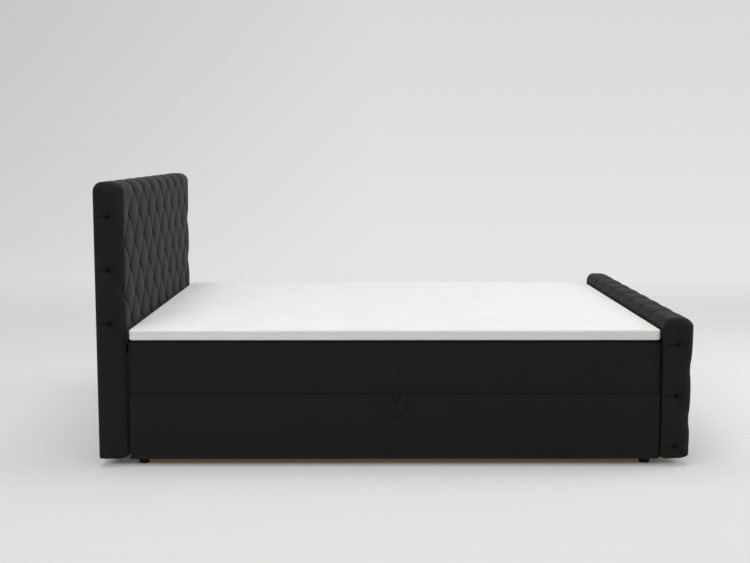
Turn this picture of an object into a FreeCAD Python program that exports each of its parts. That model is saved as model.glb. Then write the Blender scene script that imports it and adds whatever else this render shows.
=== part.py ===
import FreeCAD, Part
import Sketcher
import math
import os
import re
from FreeCAD import Placement, Rotation, Vector

# Box spring bed, 160 x 200 cm, in millimetres. The floor is at zero, +X points to the foot end,
# -Y to the side with the pull loop, and +Z up.

SIZES = {
    "BedLength": (2006, "storage box and spring mattress over their fabric"),
    "BedWidth": (1600, "storage box and spring mattress over their fabric"),
    "FloorGap": (30, "underside of the box and of both boards"),
    "SplitHeight": (282, "seam between storage box and spring mattress, and hinge axis"),
    "SeamGap": (0.6, "air in that seam"),
    "MattressTop": (485, "top of the spring mattress"),
    "BoxCover": (4, "padded fabric round the storage box"),
    "BoxReturn": (2, "fabric turned over the rim of the storage box"),
    "BoxRound": (10, "rounded upright corners of the storage box"),
    "PanelThick": (18, "side and end panels"),
    "PlankWidth": (100, "planks across the box, under its floor"),
    "PlankThick": (22, "planks across the box, under its floor"),
    "FloorThick": (5, "floor panel of the box"),
    "FloorSlack": (0.5, "floor panel to the panels round it"),
    "FootRadius": (20, "plastic foot at the ground"),
    "FootFlange": (22, "flange on top of the foot"),
    "FootFlangeThick": (5, "flange on top of the foot"),
    "FootEndInset": (40, "foot centre from the end of the box"),
    "FootSideInset": (73, "foot centre from the side of the box"),
    "FootStud": (4, "stud on top of the foot"),
    "FootStudLength": (18, "stud on top of the foot, in its plank"),
    "ThreadFit": (0.05, "thread to its hole"),
    "BoardGap": (5, "box to headboard and to footboard, the spacers' length"),
    "BoardOverhang": (10, "headboard and footboard beyond the side of the bed"),
    "BoardThick": (112, "headboard and footboard over the tufts"),
    "HeadHeight": (1078, "headboard"),
    "FootHeight": (570, "footboard"),
    "BoardRound": (35, "top edges of the boards"),
    "BoardBottomRound": (15, "bottom edges of the boards"),
    "BoardSideRound": (20, "edges round the narrow sides of the boards"),
    "PadFront": (44, "padding on the tufted face, tufts included"),
    "PadSide": (20, "padding on the narrow sides"),
    "PadTop": (40, "padding on top"),
    "FaceBoard": (6, "board that the tufts are pulled to"),
    "BackCover": (2, "fabric-covered panel on the plain face"),
    "PostWidth": (60, "upright timbers of the boards"),
    "RailHeight": (60, "level timbers of the boards"),
    "BoltRailHeight": (200, "wide timber that takes the bolts"),
    "BoltRailRise": (30, "wide timber above the underside"),
    "MiddleRail": (600, "middle timber of the headboard, above the floor"),
    "TuftDepth": (20, "crown of the tufts over their pleats"),
    "TuftColumn": (190, "tuft to tuft across"),
    "HeadTuftRow": (200, "tuft to tuft down the headboard"),
    "HeadTuftDrop": (132, "first row of side tufts below the headboard's top"),
    "FootTuftRow": (194, "tuft to tuft down the footboard"),
    "FootTuftDrop": (103, "first row of side tufts below the footboard's top"),
    "PleatSeam": (0.5, "half the flat bottom of a pleat"),
    "PleatSink": (1, "tufts' roots below the pleats"),
    "TopPleatDepth": (6, "pleats over the boards' tops"),
    "TopPleatWidth": (10, "pleats over the boards' tops"),
    "SideTuftRadius": (9, "tufts on the narrow sides"),
    "SideTuftDepth": (12, "tufts on the narrow sides"),
    "CreaseHeight": (6, "creases that run from the side tufts"),
    "CreaseDepth": (6, "creases that run from the side tufts"),
    "CreaseEnd": (2, "height and depth at which a crease runs out"),
    "BoltRadius": (4, "bolts between box and boards"),
    "BoltHead": (8, "bolts between box and boards"),
    "BoltHeadThick": (5, "bolts between box and boards"),
    "BoltFit": (0.4, "bolts in the holes they pass through"),
    "BoltBite": (40, "bolts in the wide timber"),
    "BoltInset": (300, "bolts from the side of the bed"),
    "BoltLow": (115, "lower bolts above the floor"),
    "BoltHigh": (215, "upper bolts above the floor"),
    "SpacerRadius": (16, "spacers on the bolts"),
    "HingeLength": (100, "each hinge"),
    "HingePitch": (720, "hinge to hinge"),
    "KnuckleRadius": (4, "hinge barrel"),
    "KnuckleGap": (0.5, "between the hinge's knuckles"),
    "PinRadius": (2.5, "hinge pin"),
    "PinHead": (3.6, "heads of the hinge pin"),
    "PinHeadThick": (1.5, "heads of the hinge pin"),
    "PinFit": (0.05, "hinge pin in its knuckles"),
    "LeafThick": (2, "hinge leaves"),
    "LeafHeight": (36, "hinge leaves from the axis to the far edge"),
    "LeafFaceGap": (0.4, "hinge barrel to the face of the box"),
    "LeafScrewRadius": (2, "hinge screws"),
    "LeafScrewHead": (3.5, "hinge screws"),
    "LeafScrewHeadThick": (1.2, "hinge screws"),
    "LeafScrewBite": (16, "hinge screws behind the leaf"),
    "LeafScrewPitch": (60, "hinge screws along the leaf"),
    "LeafScrewRise": (26, "hinge screws from the axis"),
    "LidCover": (8, "quilted fabric round the spring mattress"),
    "LidReturn": (3, "fabric turned under the mattress"),
    "MattressRound": (28, "top edges of the spring mattress"),
    "MattressBottomRound": (15, "bottom edges of the spring mattress"),
    "MattressCornerRound": (20, "upright corners of the spring mattress"),
    "LidRailThick": (20, "timbers round the lid"),
    "LidRailHeight": (60, "timbers round the lid"),
    "LidCornerRound": (12, "upright corners of the lid's frame, deck and foam"),
    "SlatWidth": (60, "slats across the lid"),
    "SlatThick": (20, "slats across the lid"),
    "SlatPitch": (400, "slat to slat"),
    "DeckThick": (6, "board under the springs"),
    "EdgeFoam": (60, "foam wall round the springs"),
    "SpringSlack": (0.5, "spring unit to its foam wall"),
    "ComfortFoam": (25, "foam over the springs"),
    "FoamBevel": (10, "upper edges of that foam"),
    "TopperEndGap": (3, "mattress beyond the end of the topper"),
    "TopperThick": (39, "topper"),
    "TopperCover": (3, "topper's own cover"),
    "TopperBevel": (3, "topper's upper and lower edges"),
    "TopperCornerRound": (18, "topper's upright corners"),
    "StrutBaseBack": (160, "strut's lower stud from the hinge axis, towards the pull loop"),
    "StrutBaseDrop": (205, "strut's lower stud below the hinge axis"),
    "StrutLidBack": (260, "strut's upper stud from the hinge axis, towards the pull loop"),
    "StrutLidRise": (20, "strut's upper stud above the hinge axis"),
    "StrutInset": (21, "strut's middle plane from the end panel"),
    "StudRadius": (4, "studs of the gas struts"),
    "StudFit": (0.05, "lower stud in its eye"),
    "StudEnd": (0.5, "eye to the head of its stud"),
    "StudHead": (6, "stud heads"),
    "StudHeadThick": (2, "stud heads"),
    "EyeRadius": (12, "lower eye of the strut"),
    "EyeThick": (10, "eyes of the strut"),
    "RodEyeBore": (8, "upper eye, open enough for the rod's straight run"),
    "RodEyeRadius": (13, "upper eye of the strut"),
    "TubeRadius": (9, "strut's cylinder"),
    "TubeWall": (1.5, "strut's cylinder"),
    "TubeLength": (216, "strut's cylinder, from its eye"),
    "TubeEndWall": (6, "strut's cylinder, closed end"),
    "GlandLength": (15, "strut's cylinder, guided end"),
    "RodRadius": (4, "strut's rod"),
    "RodFit": (0.05, "strut's rod in its gland"),
    "PistonLength": (12, "strut's piston"),
    "PistonRest": (8, "strut's piston from the closed end"),
    "PistonFit": (0.1, "strut's piston in the tube"),
    "BracketHeight": (60, "strut brackets"),
    "BracketWidth": (30, "strut brackets"),
    "BracketThick": (2, "strut brackets"),
    "LoopWidth": (90, "pull loop"),
    "LoopDrop": (90, "pull loop below the seam"),
    "StrapWidth": (28, "strap that the pull loop is folded from"),
    "LoopSlot": (44, "opening of the pull loop below the seam"),
    "LoopThick": (5, "pull loop"),
    "LoopFaceGap": (0.4, "pull loop to the face of the box"),
    "LoopOffset": (5, "pull loop from the middle of the side"),
    "Overrun": (1, "how far a cut runs past a face"),
}

# Sizes that follow from the ones above
DERIVED = {
    "BoxTop": "SplitHeight - SeamGap / 2",
    "LidBottom": "SplitHeight + SeamGap / 2",
    "PanelX": "BedLength / 2 - BoxCover",
    "PanelY": "BedWidth / 2 - BoxCover",
    "InnerX": "PanelX - PanelThick",
    "InnerY": "PanelY - PanelThick",
    "PanelTop": "BoxTop - BoxReturn",
    "PlankTop": "FloorGap + PlankThick",
    "FootX": "BedLength / 2 - FootEndInset",
    "FootY": "BedWidth / 2 - FootSideInset",
    "HeadBack": "-(BedLength / 2 + BoardGap + BoardThick)",
    "FootBack": "BedLength / 2 + BoardGap",
    "BoardWidth": "BedWidth + 2 * BoardOverhang",
    "BoltSpread": "BedWidth - 2 * BoltInset",
    "TopperLength": "BedLength - 2 * TopperEndGap",
    "FrameY": "BoardWidth / 2 - PadSide",
    "FrameDepth": "BoardThick - PadFront - FaceBoard - BackCover",
    "PostY": "FrameY - PostWidth",
    "LidX": "BedLength / 2 - LidCover",
    "LidY": "BedWidth / 2 - LidCover",
    "LidRailBottom": "LidBottom + LidReturn",
    "DeckBottom": "LidRailBottom + LidRailHeight",
    "SpringBottom": "DeckBottom + DeckThick",
    "FoamTop": "MattressTop - LidCover",
    "SpringTop": "FoamTop - ComfortFoam",
    "SpringX": "LidX - EdgeFoam - SpringSlack",
    "SpringY": "LidY - EdgeFoam - SpringSlack",
    "HingeY": "BedWidth / 2 + LeafFaceGap + KnuckleRadius",
    "BoltLengthHead": "PanelThick + BoxCover + BoardGap + PadFront + FaceBoard + BoltBite",
    "BoltLengthFoot": "PanelThick + BoxCover + BoardGap + BackCover + BoltBite",
    "StrutBaseY": "HingeY - StrutBaseBack",
    "StrutBaseZ": "SplitHeight - StrutBaseDrop",
    "StrutLidY": "HingeY - StrutLidBack",
    "StrutLidZ": "SplitHeight + StrutLidRise",
    "StrutX": "InnerX - StrutInset",
    "LowerStud": "StrutInset + EyeThick / 2 + StudEnd",
    "UpperStud": "LidX - LidRailThick - StrutX + EyeThick / 2 + StudEnd",
    "StrutLength": "sqrt((StrutBaseBack - StrutLidBack) ^ 2 + (StrutBaseDrop + StrutLidRise) ^ 2)",
    "StrutTurn": "atan2(StrutLidBack - StrutBaseBack; StrutBaseDrop + StrutLidRise)",
}

HINGE_COUNT = 3
KNUCKLE_COUNT = 3
LEAF_SCREW_COUNT = 2
SLAT_COUNT = 4
SIDE_TUFT_ROWS = 3
CROWN_FACES = 6
ROUND_FACES = 4
FASTENER_SIDES = 8
HEAD_SIDES = 6

# Ends of the bed and sides of the bed, as signs of X and Y
ENDS = {"head": -1, "foot": 1}
SIDES = {"near": -1, "far": 1}

ALONG_X = Rotation(Vector(0, 1, 0), 90)
ALONG_Y = Rotation(Vector(1, 0, 0), -90)
UPRIGHT = Rotation()

doc = FreeCAD.newDocument("BoxSpringBed")
sheet = doc.addObject("Spreadsheet::Sheet", "Sizes")
nodes = {}


def cells(formula):
    """A formula in the sheet's names, as an expression of the document."""
    return re.sub(r"\b[A-Z]\w+", lambda word: "Sizes." + word.group(0), formula)


def fill_sheet():
    row = 1
    for name, (value, meaning) in SIZES.items():
        sheet.set("A%d" % row, name)
        sheet.set("B%d" % row, str(value))
        sheet.set("C%d" % row, meaning)
        sheet.setAlias("B%d" % row, name)
        row += 1
    for name, formula in DERIVED.items():
        sheet.set("A%d" % row, name)
        sheet.set("B%d" % row, "=" + formula)
        sheet.setAlias("B%d" % row, name)
        row += 1
    doc.recompute()


def size(name):
    """A size of the sheet as a plain number."""
    value = sheet.get(name)
    return getattr(value, "Value", value)


def bind(target, formulas):
    for prop, formula in formulas.items():
        target.setExpression(prop, cells(formula))


def place(target, corner):
    bind(target, dict(zip(("Placement.Base.x", "Placement.Base.y", "Placement.Base.z"), corner)))


def node(name, target):
    """Marks an object as one finished piece of the bed."""
    target.Label = name
    nodes[name] = target
    return target


def box(label, extent, corner):
    """A block with bound length, width and height, and a bound lowest corner."""
    block = doc.addObject("Part::Box", label)
    block.Label = label
    bind(block, dict(zip(("Length", "Width", "Height"), extent)))
    place(block, corner)
    return block


def rod(label, radius, length, at, turn=UPRIGHT):
    """A round bar that starts at a bound point and runs the way that the turn gives."""
    bar = doc.addObject("Part::Cylinder", label)
    bar.Label = label
    bar.Placement = Placement(Vector(), turn)
    bind(bar, {"Radius": radius, "Height": length})
    place(bar, at)
    return bar


def prism(label, sides, radius, length, at, turn=UPRIGHT):
    """An even-sided bar that starts at a bound point and runs the way that the turn gives."""
    bar = doc.addObject("Part::Prism", label)
    bar.Label = label
    bar.Polygon = sides
    bar.Placement = Placement(Vector(), turn)
    bind(bar, {"Circumradius": radius, "Height": length})
    place(bar, at)
    return bar


def fuse(label, parts):
    whole = doc.addObject("Part::MultiFuse", label)
    whole.Shapes = parts
    whole.Refine = True
    whole.Label = label
    return whole


def cut(label, base, tool):
    rest = doc.addObject("Part::Cut", label)
    rest.Base = base
    rest.Tool = tool
    rest.Label = label
    return rest


def shaped(label, shape):
    """A piece whose shape is worked out below from the sheet's sizes."""
    feature = doc.addObject("Part::Feature", label)
    feature.Shape = shape
    feature.Label = label
    return feature


def group(label, source, places):
    """Equal pieces set at several places, kept as separate solids."""
    doc.recompute()
    solids = []
    for spot in places:
        solid = source.Shape.copy()
        solid.Placement = spot.multiply(source.Placement)
        solids.append(solid)
    return shaped(label, Part.makeCompound(solids))


def body(label):
    made = doc.addObject("PartDesign::Body", label)
    made.Label = label
    return made


def sketch_on(owner, role, points):
    """A closed outline of straight lines through points given as pairs of formulas."""
    outline = owner.newObject("Sketcher::SketchObject", owner.Name + "Outline")
    plane = [feature for feature in owner.Origin.OriginFeatures if feature.Role == role]
    outline.AttachmentSupport = [(plane[0], "")]
    outline.MapMode = "FlatFace"
    spots = [Vector(number(across), number(up), 0) for across, up in points]
    count = len(spots)
    for index in range(count):
        outline.addGeometry(Part.LineSegment(spots[index], spots[(index + 1) % count]), False)
    for index in range(count):
        outline.addConstraint(Sketcher.Constraint("Coincident", index, 2, (index + 1) % count, 1))
    for index, (across, up) in enumerate(points):
        for kind, formula in (("DistanceX", across), ("DistanceY", up)):
            rule = Sketcher.Constraint(kind, -1, 1, index, 1, number(formula))
            place_of_rule = outline.addConstraint(rule)
            if formula != "0":
                outline.setExpression("Constraints[%d]" % place_of_rule, cells(formula))
    return outline


def number(formula):
    """A formula in the sheet's names, worked out now."""
    scratch = sheet.evalExpression(formula)
    return getattr(scratch, "Value", scratch)


def revolved(label, points):
    """A turned piece about its own Z axis, from radius and height pairs."""
    turned = body(label)
    outline = sketch_on(turned, "XZ_Plane", points)
    turn = turned.newObject("PartDesign::Revolution", label + "Turn")
    turn.Profile = outline
    turn.ReferenceAxis = (outline, ["V_Axis"])
    turn.Angle = 360
    return turned


def block_in(owner, kind, extent, corner):
    """A block added to or taken from a body."""
    block = owner.newObject("PartDesign::" + kind, owner.Name + kind)
    bind(block, dict(zip(("Length", "Width", "Height"), extent)))
    place(block, corner)
    return block


def worked(owner, feature, kind, amount, wanted):
    """Rounds or bevels the edges of a body's last feature that pass the test."""
    doc.recompute()
    names = ["Edge%d" % (i + 1) for i, edge in enumerate(feature.Shape.Edges) if wanted(edge.BoundBox)]
    edging = owner.newObject("PartDesign::" + kind, owner.Name + kind)
    edging.Base = (feature, names)
    bind(edging, {"Radius" if kind == "Fillet" else "Size": amount})
    doc.recompute()
    return edging


def is_upright(bound):
    return bound.ZLength > bound.XLength + bound.YLength


def is_level_at(height):
    tolerance = size("FloorSlack") / 2
    return lambda bound: abs(bound.ZMin - height) < tolerance and abs(bound.ZMax - height) < tolerance


def centred(half_length, half_width):
    """Length, width and lowest corner of a block about the middle of the bed."""
    extent = ("2 * %s" % half_length, "2 * %s" % half_width)
    return extent, ("-" + half_length, "-" + half_width)


def make_storage_box():
    long_side = ("2 * PanelX", "PanelThick", "PanelTop - FloorGap")
    short_side = ("PanelThick", "2 * InnerY", "PanelTop - FloorGap")
    near = box("side_panel_near", long_side, ("-PanelX", "-PanelY", "FloorGap"))
    node("side_panel_near", near)
    far = box("far_panel_blank", long_side, ("-PanelX", "InnerY", "FloorGap"))
    node("side_panel_far", cut("side_panel_far", far, hinge_bores("panel", -1)))
    for end, sign in ENDS.items():
        start = "-PanelX" if sign < 0 else "InnerX"
        blank = box("end_blank_" + end, short_side, (start, "-InnerY", "FloorGap"))
        bores = bolt_bores("panel_bores_" + end, "BoltRadius + BoltFit", sign, "InnerX", "PanelThick")
        node("end_panel_" + end, cut("end_panel_" + end, blank, bores))
    starts = {"head": "-InnerX", "middle": "-PlankWidth / 2", "foot": "InnerX - PlankWidth"}
    for where, start in starts.items():
        extent = ("PlankWidth", "2 * InnerY", "PlankThick")
        blank = box("plank_blank_" + where, extent, (start, "-InnerY", "FloorGap"))
        bore = foot_stud_bores("plank_bores_" + where, where)
        node("cross_plank_" + where, cut("cross_plank_" + where, blank, bore))
    node("floor_panel", box(
        "floor_panel",
        ("2 * (InnerX - FloorSlack)", "2 * (InnerY - FloorSlack)", "FloorThick"),
        ("-(InnerX - FloorSlack)", "-(InnerY - FloorSlack)", "PlankTop"),
    ))
    make_box_cover()


def make_box_cover():
    """Padded fabric round the panels, turned over their rim."""
    cover = body("box_cover_blank")
    whole = block_in(
        cover, "AdditiveBox",
        ("BedLength", "BedWidth", "BoxTop - FloorGap"),
        ("-BedLength / 2", "-BedWidth / 2", "FloorGap"),
    )
    worked(cover, whole, "Fillet", "BoxRound", is_upright)
    extent, corner = centred("PanelX", "PanelY")
    block_in(
        cover, "SubtractiveBox",
        extent + ("PanelTop - FloorGap + Overrun",),
        corner + ("FloorGap - Overrun",),
    )
    extent, corner = centred("InnerX", "InnerY")
    block_in(
        cover, "SubtractiveBox",
        extent + ("BoxTop - FloorGap + 2 * Overrun",),
        corner + ("FloorGap - Overrun",),
    )
    bores = [hinge_bores("cover", -1)]
    for end, sign in ENDS.items():
        bores.append(bolt_bores("cover_bores_" + end, "BoltRadius + BoltFit", sign, "PanelX", "BoxCover"))
    node("box_cover", cut("box_cover", cover, fuse("cover_bores", bores)))


def foot_places():
    """Places of the feet: one near each corner and one under the middle plank."""
    places = {"middle": ("0", "0")}
    for end, along in ENDS.items():
        for side, across in SIDES.items():
            places["%s_%s" % (side, end)] = ("%d * FootX" % along, "%d * FootY" % across)
    return places


def make_feet():
    """Turned plastic feet, each with a stud that is screwed into its plank."""
    foot = revolved("foot_body", [
        ("0", "0"),
        ("FootRadius", "0"),
        ("FootRadius", "FloorGap - FootFlangeThick"),
        ("FootFlange", "FloorGap - FootFlangeThick"),
        ("FootFlange", "FloorGap"),
        ("0", "FloorGap"),
    ])
    stud = prism("foot_stud", FASTENER_SIDES, "FootStud", "FootStudLength", ("0", "0", "FloorGap"))
    spots = [Placement(Vector(number(x), number(y), 0), UPRIGHT) for x, y in foot_places().values()]
    node("feet", group("feet", fuse("foot", [foot, stud]), spots))


def foot_stud_bores(label, plank):
    """Holes for the studs of the feet that stand under one plank."""
    bores = []
    depth = "FootStudLength + ThreadFit + Overrun"
    for where, (along, across) in foot_places().items():
        if where.endswith(plank):
            start = (along, across, "FloorGap - Overrun")
            bores.append(prism(label + where, FASTENER_SIDES, "FootStud + ThreadFit", depth, start))
    return fuse(label, bores) if len(bores) > 1 else bores[0]


def bolt_places():
    return [(side + " * BoltSpread / 2", level) for side in ("-1", "1") for level in ("BoltLow", "BoltHigh")]


def bolt_bores(label, radius, sign, inner, length):
    """Holes through one layer, whose inner face lies at a distance from the bed's middle."""
    bores = []
    near = "%s - Overrun" % inner if sign > 0 else "-(%s + %s + Overrun)" % (inner, length)
    reach = length + " + 2 * Overrun"
    for index, (across, level) in enumerate(bolt_places()):
        name = "%s_%d" % (label, index)
        bores.append(prism(name, FASTENER_SIDES, radius, reach, (near, across, level), ALONG_X))
    return fuse(label, bores)


def make_bolts(board, sign, length):
    """Bolts from inside the storage box into one board, and the spacers between the two."""
    away = ALONG_X if sign > 0 else Rotation(Vector(0, 1, 0), -90)
    shank = prism(board + "_bolt_shank", FASTENER_SIDES, "BoltRadius", length, ("0", "0", "0"))
    head_start = ("0", "0", "-BoltHeadThick")
    head = prism(board + "_bolt_head", HEAD_SIDES, "BoltHead", "BoltHeadThick", head_start)
    bolt = fuse(board + "_bolt", [shank, head])
    ring = prism(board + "_spacer_ring", FASTENER_SIDES, "SpacerRadius", "BoardGap", ("0", "0", "0"))
    bore_length = "BoardGap + 2 * Overrun"
    bore_start = ("0", "0", "-Overrun")
    bore = prism(board + "_spacer_bore", FASTENER_SIDES, "BoltRadius + BoltFit", bore_length, bore_start)
    spacer = cut(board + "_spacer", ring, bore)
    for name, source, start in (("bolts", bolt, "InnerX"), ("spacers", spacer, "BedLength / 2")):
        spots = []
        for across, level in bolt_places():
            spots.append(Placement(Vector(sign * number(start), number(across), number(level)), away))
        node("%s_%s" % (board, name), group("%s_%s" % (board, name), source, spots))


def make_board(board, back, height, tuft_row, tuft_drop, sign):
    """Frame, face board, tufted padding and plain back of a headboard or footboard.

    The tufted face looks to +X on both boards.
    """
    top = "%s - PadTop" % height
    frame_x = "%s + BackCover" % back
    for side, across in SIDES.items():
        start = "-FrameY" if across < 0 else "PostY"
        name = "%s_post_%s" % (board, side)
        node(name, box(name, ("FrameDepth", "PostWidth", top + " - FloorGap"), (frame_x, start, "FloorGap")))
    rails = {"top": top + " - RailHeight"}
    if board == "headboard":
        rails["middle"] = "MiddleRail"
    for level, start in rails.items():
        name = "%s_rail_%s" % (board, level)
        node(name, box(name, ("FrameDepth", "2 * PostY", "RailHeight"), (frame_x, "-PostY", start)))
    name = board + "_rail_bolted"
    start = (frame_x, "-PostY", "FloorGap + BoltRailRise")
    blank = box(name + "_blank", ("FrameDepth", "2 * PostY", "BoltRailHeight"), start)
    front = "BedLength / 2 + BoardGap"
    before = "%s + PadFront + FaceBoard" % front if sign < 0 else "%s + BackCover" % front
    bores = bolt_bores(name + "_bores", "BoltRadius + ThreadFit", sign, before, "BoltBite")
    node(name, cut(name, blank, bores))
    panel = ("2 * FrameY", top + " - FloorGap")
    low = ("-FrameY", "FloorGap")
    face = box(board + "_face_blank", ("FaceBoard",) + panel, (frame_x + " + FrameDepth",) + low)
    cover = box(board + "_cover_blank", ("BackCover",) + panel, (back,) + low)
    pad = tufted_pad(board, number(back), number(height), size(tuft_row), size(tuft_drop))
    through = "BoltRadius + BoltFit"
    if sign < 0:
        depth = "PadFront + FaceBoard"
        layers = bolt_bores(board + "_layer_bores", through, sign, front, depth)
        face = cut(board + "_face_board", face, layers)
        pad = cut(board + "_pad", pad, layers)
    else:
        layers = bolt_bores(board + "_layer_bores", through, sign, front, "BackCover")
        cover = cut(board + "_cover", cover, layers)
    node(board + "_face_board", face)
    node(board + "_pad", pad)
    node(board + ("_back_cover" if sign < 0 else "_inner_cover"), cover)
    make_bolts(board, sign, "BoltLengthHead" if sign < 0 else "BoltLengthFoot")


def tuft_section(root, across, height, half_width):
    """Level section of one tuft: a crown of equal chords of one arc, closed by a straight root."""
    rise = size("TuftDepth") + size("PleatSink")
    radius = (half_width ** 2 + rise ** 2) / (2 * rise)
    half_angle = math.asin(half_width / radius)
    points = []
    for step in range(CROWN_FACES + 1):
        angle = half_angle * (2 * step / CROWN_FACES - 1)
        out = radius * math.cos(angle) - (radius - rise)
        points.append(Vector(root + out, across + radius * math.sin(angle), height))
    return Part.makePolygon(points + points[:1])


def tuft(root, across, height, half_height, above=True, below=True):
    """One diamond tuft, or its upper or lower half, lofted from its widest section to its points."""
    half_width = size("TuftColumn") / 2 - size("PleatSeam")
    profiles = [tuft_section(root, across, height, half_width)]
    if below:
        profiles.insert(0, Part.Vertex(root, across, height - half_height))
    if above:
        profiles.append(Part.Vertex(root, across, height + half_height))
    return Part.makeLoft(profiles, True, True)


def tufted_pad(board, back, height, row, drop):
    """Padding of a board: diamond tufts on its face, pleats over its top and tufts on its narrow sides.

    Its hollow takes the frame and the face board, and is open at the back and below.
    """
    thick = size("BoardThick")
    half = size("BoardWidth") / 2
    base = size("FloorGap")
    root = back + thick - size("TuftDepth") - size("PleatSink")
    column = size("TuftColumn")
    half_row = row / 2 - size("PleatSeam")
    columns = math.ceil(half / column)
    side_rows = [height - drop - index * row for index in range(SIDE_TUFT_ROWS)]
    tufts = []
    for level in side_rows:
        for index in range(-columns, columns + 1):
            if abs(index) * column < half:
                tufts.append(tuft(root, index * column, level, half_row))
    between = [(index + 0.5) * column for index in range(-columns, columns)]
    for level in side_rows[1:]:
        for across in between:
            tufts.append(tuft(root, across, level + row / 2, half_row))
    highest = side_rows[0] + row / 2
    lowest = side_rows[-1] - row / 2
    half_width = column / 2 - size("PleatSeam")
    for across in between:
        tufts.append(tuft(root, across, highest, half_row, above=False))
        channel = Part.Face(tuft_section(root, across, highest, half_width))
        tufts.append(channel.extrude(Vector(0, 0, height - highest + size("Overrun"))))
        tufts.append(tuft(root, across, lowest, half_row, below=False))
    slab_thick = thick - size("TuftDepth")
    slab = Part.makeBox(slab_thick, 2 * half, height - base, Vector(back, -half, base))
    if lowest > base:
        plain = (size("TuftDepth") + size("PleatSink"), 2 * half, lowest - base)
        tufts.append(Part.makeBox(*plain, Vector(root, -half, base)))
    quilted = shaped(board + "_quilted", slab.multiFuse(tufts))
    trimmed = doc.addObject("Part::Common", board + "_trimmed")
    trimmed.Base = shaped(board + "_outline", board_outline(back, height))
    trimmed.Tool = quilted
    top, start = ("HeadHeight", "HeadBack") if back < 0 else ("FootHeight", "FootBack")
    depth = "BackCover + FrameDepth + FaceBoard + Overrun"
    rise = top + " - PadTop - FloorGap + Overrun"
    corner = (start + " - Overrun", "-FrameY", "FloorGap - Overrun")
    hollow = box(board + "_hollow", (depth, "2 * FrameY", rise), corner)
    hollowed = cut(board + "_hollowed", trimmed, hollow)
    creases = top_pleats(back, height) + side_tufts(back, side_rows, row)
    return cut(board + "_pad_blank", hollowed, shaped(board + "_creases", Part.makeCompound(creases)))


def rounded_outline(low, high, low_round, high_round):
    """Corner points of a rectangle whose lower and upper corners are rounded in equal chords."""
    corners = (
        (low[0], low[1], low_round, 180),
        (high[0], low[1], low_round, 270),
        (high[0], high[1], high_round, 0),
        (low[0], high[1], high_round, 90),
    )
    points = []
    for across, up, radius, start in corners:
        centre_across = across + radius if across == low[0] else across - radius
        centre_up = up + radius if up == low[1] else up - radius
        for step in range(ROUND_FACES + 1):
            angle = math.radians(start + 90 * step / ROUND_FACES)
            points.append((centre_across + radius * math.cos(angle), centre_up + radius * math.sin(angle)))
    return points


def board_outline(back, height):
    """The board's outer block, rounded along all its edges by three crossing outlines."""
    base = size("FloorGap")
    front = back + size("BoardThick")
    half = size("BoardWidth") / 2
    top = size("BoardRound")
    low = size("BoardBottomRound")
    side = size("BoardSideRound")
    from_side = rounded_outline((back, base), (front, height), low, top)
    from_top = rounded_outline((back, -half), (front, half), side, side)
    from_front = rounded_outline((-half, base), (half, height), side, side)
    blocks = []
    for points, lift, travel in (
        (from_side, lambda p: Vector(p[0], -half, p[1]), Vector(0, 2 * half, 0)),
        (from_top, lambda p: Vector(p[0], p[1], base), Vector(0, 0, height - base)),
        (from_front, lambda p: Vector(back, p[0], p[1]), Vector(front - back, 0, 0)),
    ):
        loop = [lift(point) for point in points]
        blocks.append(Part.Face(Part.makePolygon(loop + loop[:1])).extrude(travel))
    return blocks[0].common(blocks[1]).common(blocks[2])


def top_pleats(back, height):
    """Wedge grooves that run up the back, over the top and down to the first tufts."""
    base = size("FloorGap")
    front = back + size("BoardThick")
    round_low = size("BoardBottomRound")
    round_top = size("BoardRound")
    outline = rounded_outline((back, base), (front, height), round_low, round_top)
    over = outline[2 * (ROUND_FACES + 1):]
    half_width = size("TopPleatWidth") / 2
    depth = size("TopPleatDepth")
    column = size("TuftColumn")
    count = int((size("BoardWidth") / 2 - column / 2) / column)
    grooves = []
    for index in range(-count, count + 1):
        across = index * column
        low = Vector(back, across, height - size("PadTop"))
        path = Part.makePolygon([low] + [Vector(x, across, z) for x, z in reversed(over)])
        wedge = Part.makePolygon([
            low + Vector(-depth, -2 * half_width, 0),
            low + Vector(depth, 0, 0),
            low + Vector(-depth, 2 * half_width, 0),
            low + Vector(-depth, -2 * half_width, 0),
        ])
        grooves.append(path.makePipeShell([wedge], True, True, 1))
    return grooves


def side_tufts(back, rows, row):
    """Tufts drawn into both narrow sides, with a level crease to the back and two slanted ones."""
    depth = size("SideTuftDepth")
    radius = size("SideTuftRadius")
    half = size("BoardWidth") / 2
    thick = size("BoardThick")
    middle = back + thick / 2
    full = (size("CreaseHeight") / 2, size("CreaseDepth"))
    run_out = (size("CreaseEnd") / 2, size("CreaseEnd"))
    front = back + thick - size("BoardSideRound") / 2
    pieces = []
    for sign in SIDES.values():
        for level in rows:
            mouth = Vector(middle, sign * half, level)
            root = Part.Vertex(mouth - Vector(0, sign * depth, 0))
            pieces.append(Part.makeLoft([ring(mouth, radius), root], True, True))
            ends = [Vector(back - size("Overrun"), sign * half, level)]
            ends.append(Vector(front, sign * half, level - row / 2))
            if level < rows[0]:
                ends.append(Vector(front, sign * half, level + row / 2))
            for end in ends:
                if end.z > size("FloorGap"):
                    pieces.append(crease(mouth, end, sign, full, run_out))
    return pieces


def ring(centre, radius):
    """A closed outline of equal sides about a point, facing along Y."""
    points = []
    for step in range(FASTENER_SIDES + 1):
        angle = 2 * math.pi * (step % FASTENER_SIDES) / FASTENER_SIDES
        points.append(centre + Vector(radius * math.cos(angle), 0, radius * math.sin(angle)))
    return Part.makePolygon(points)


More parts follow.
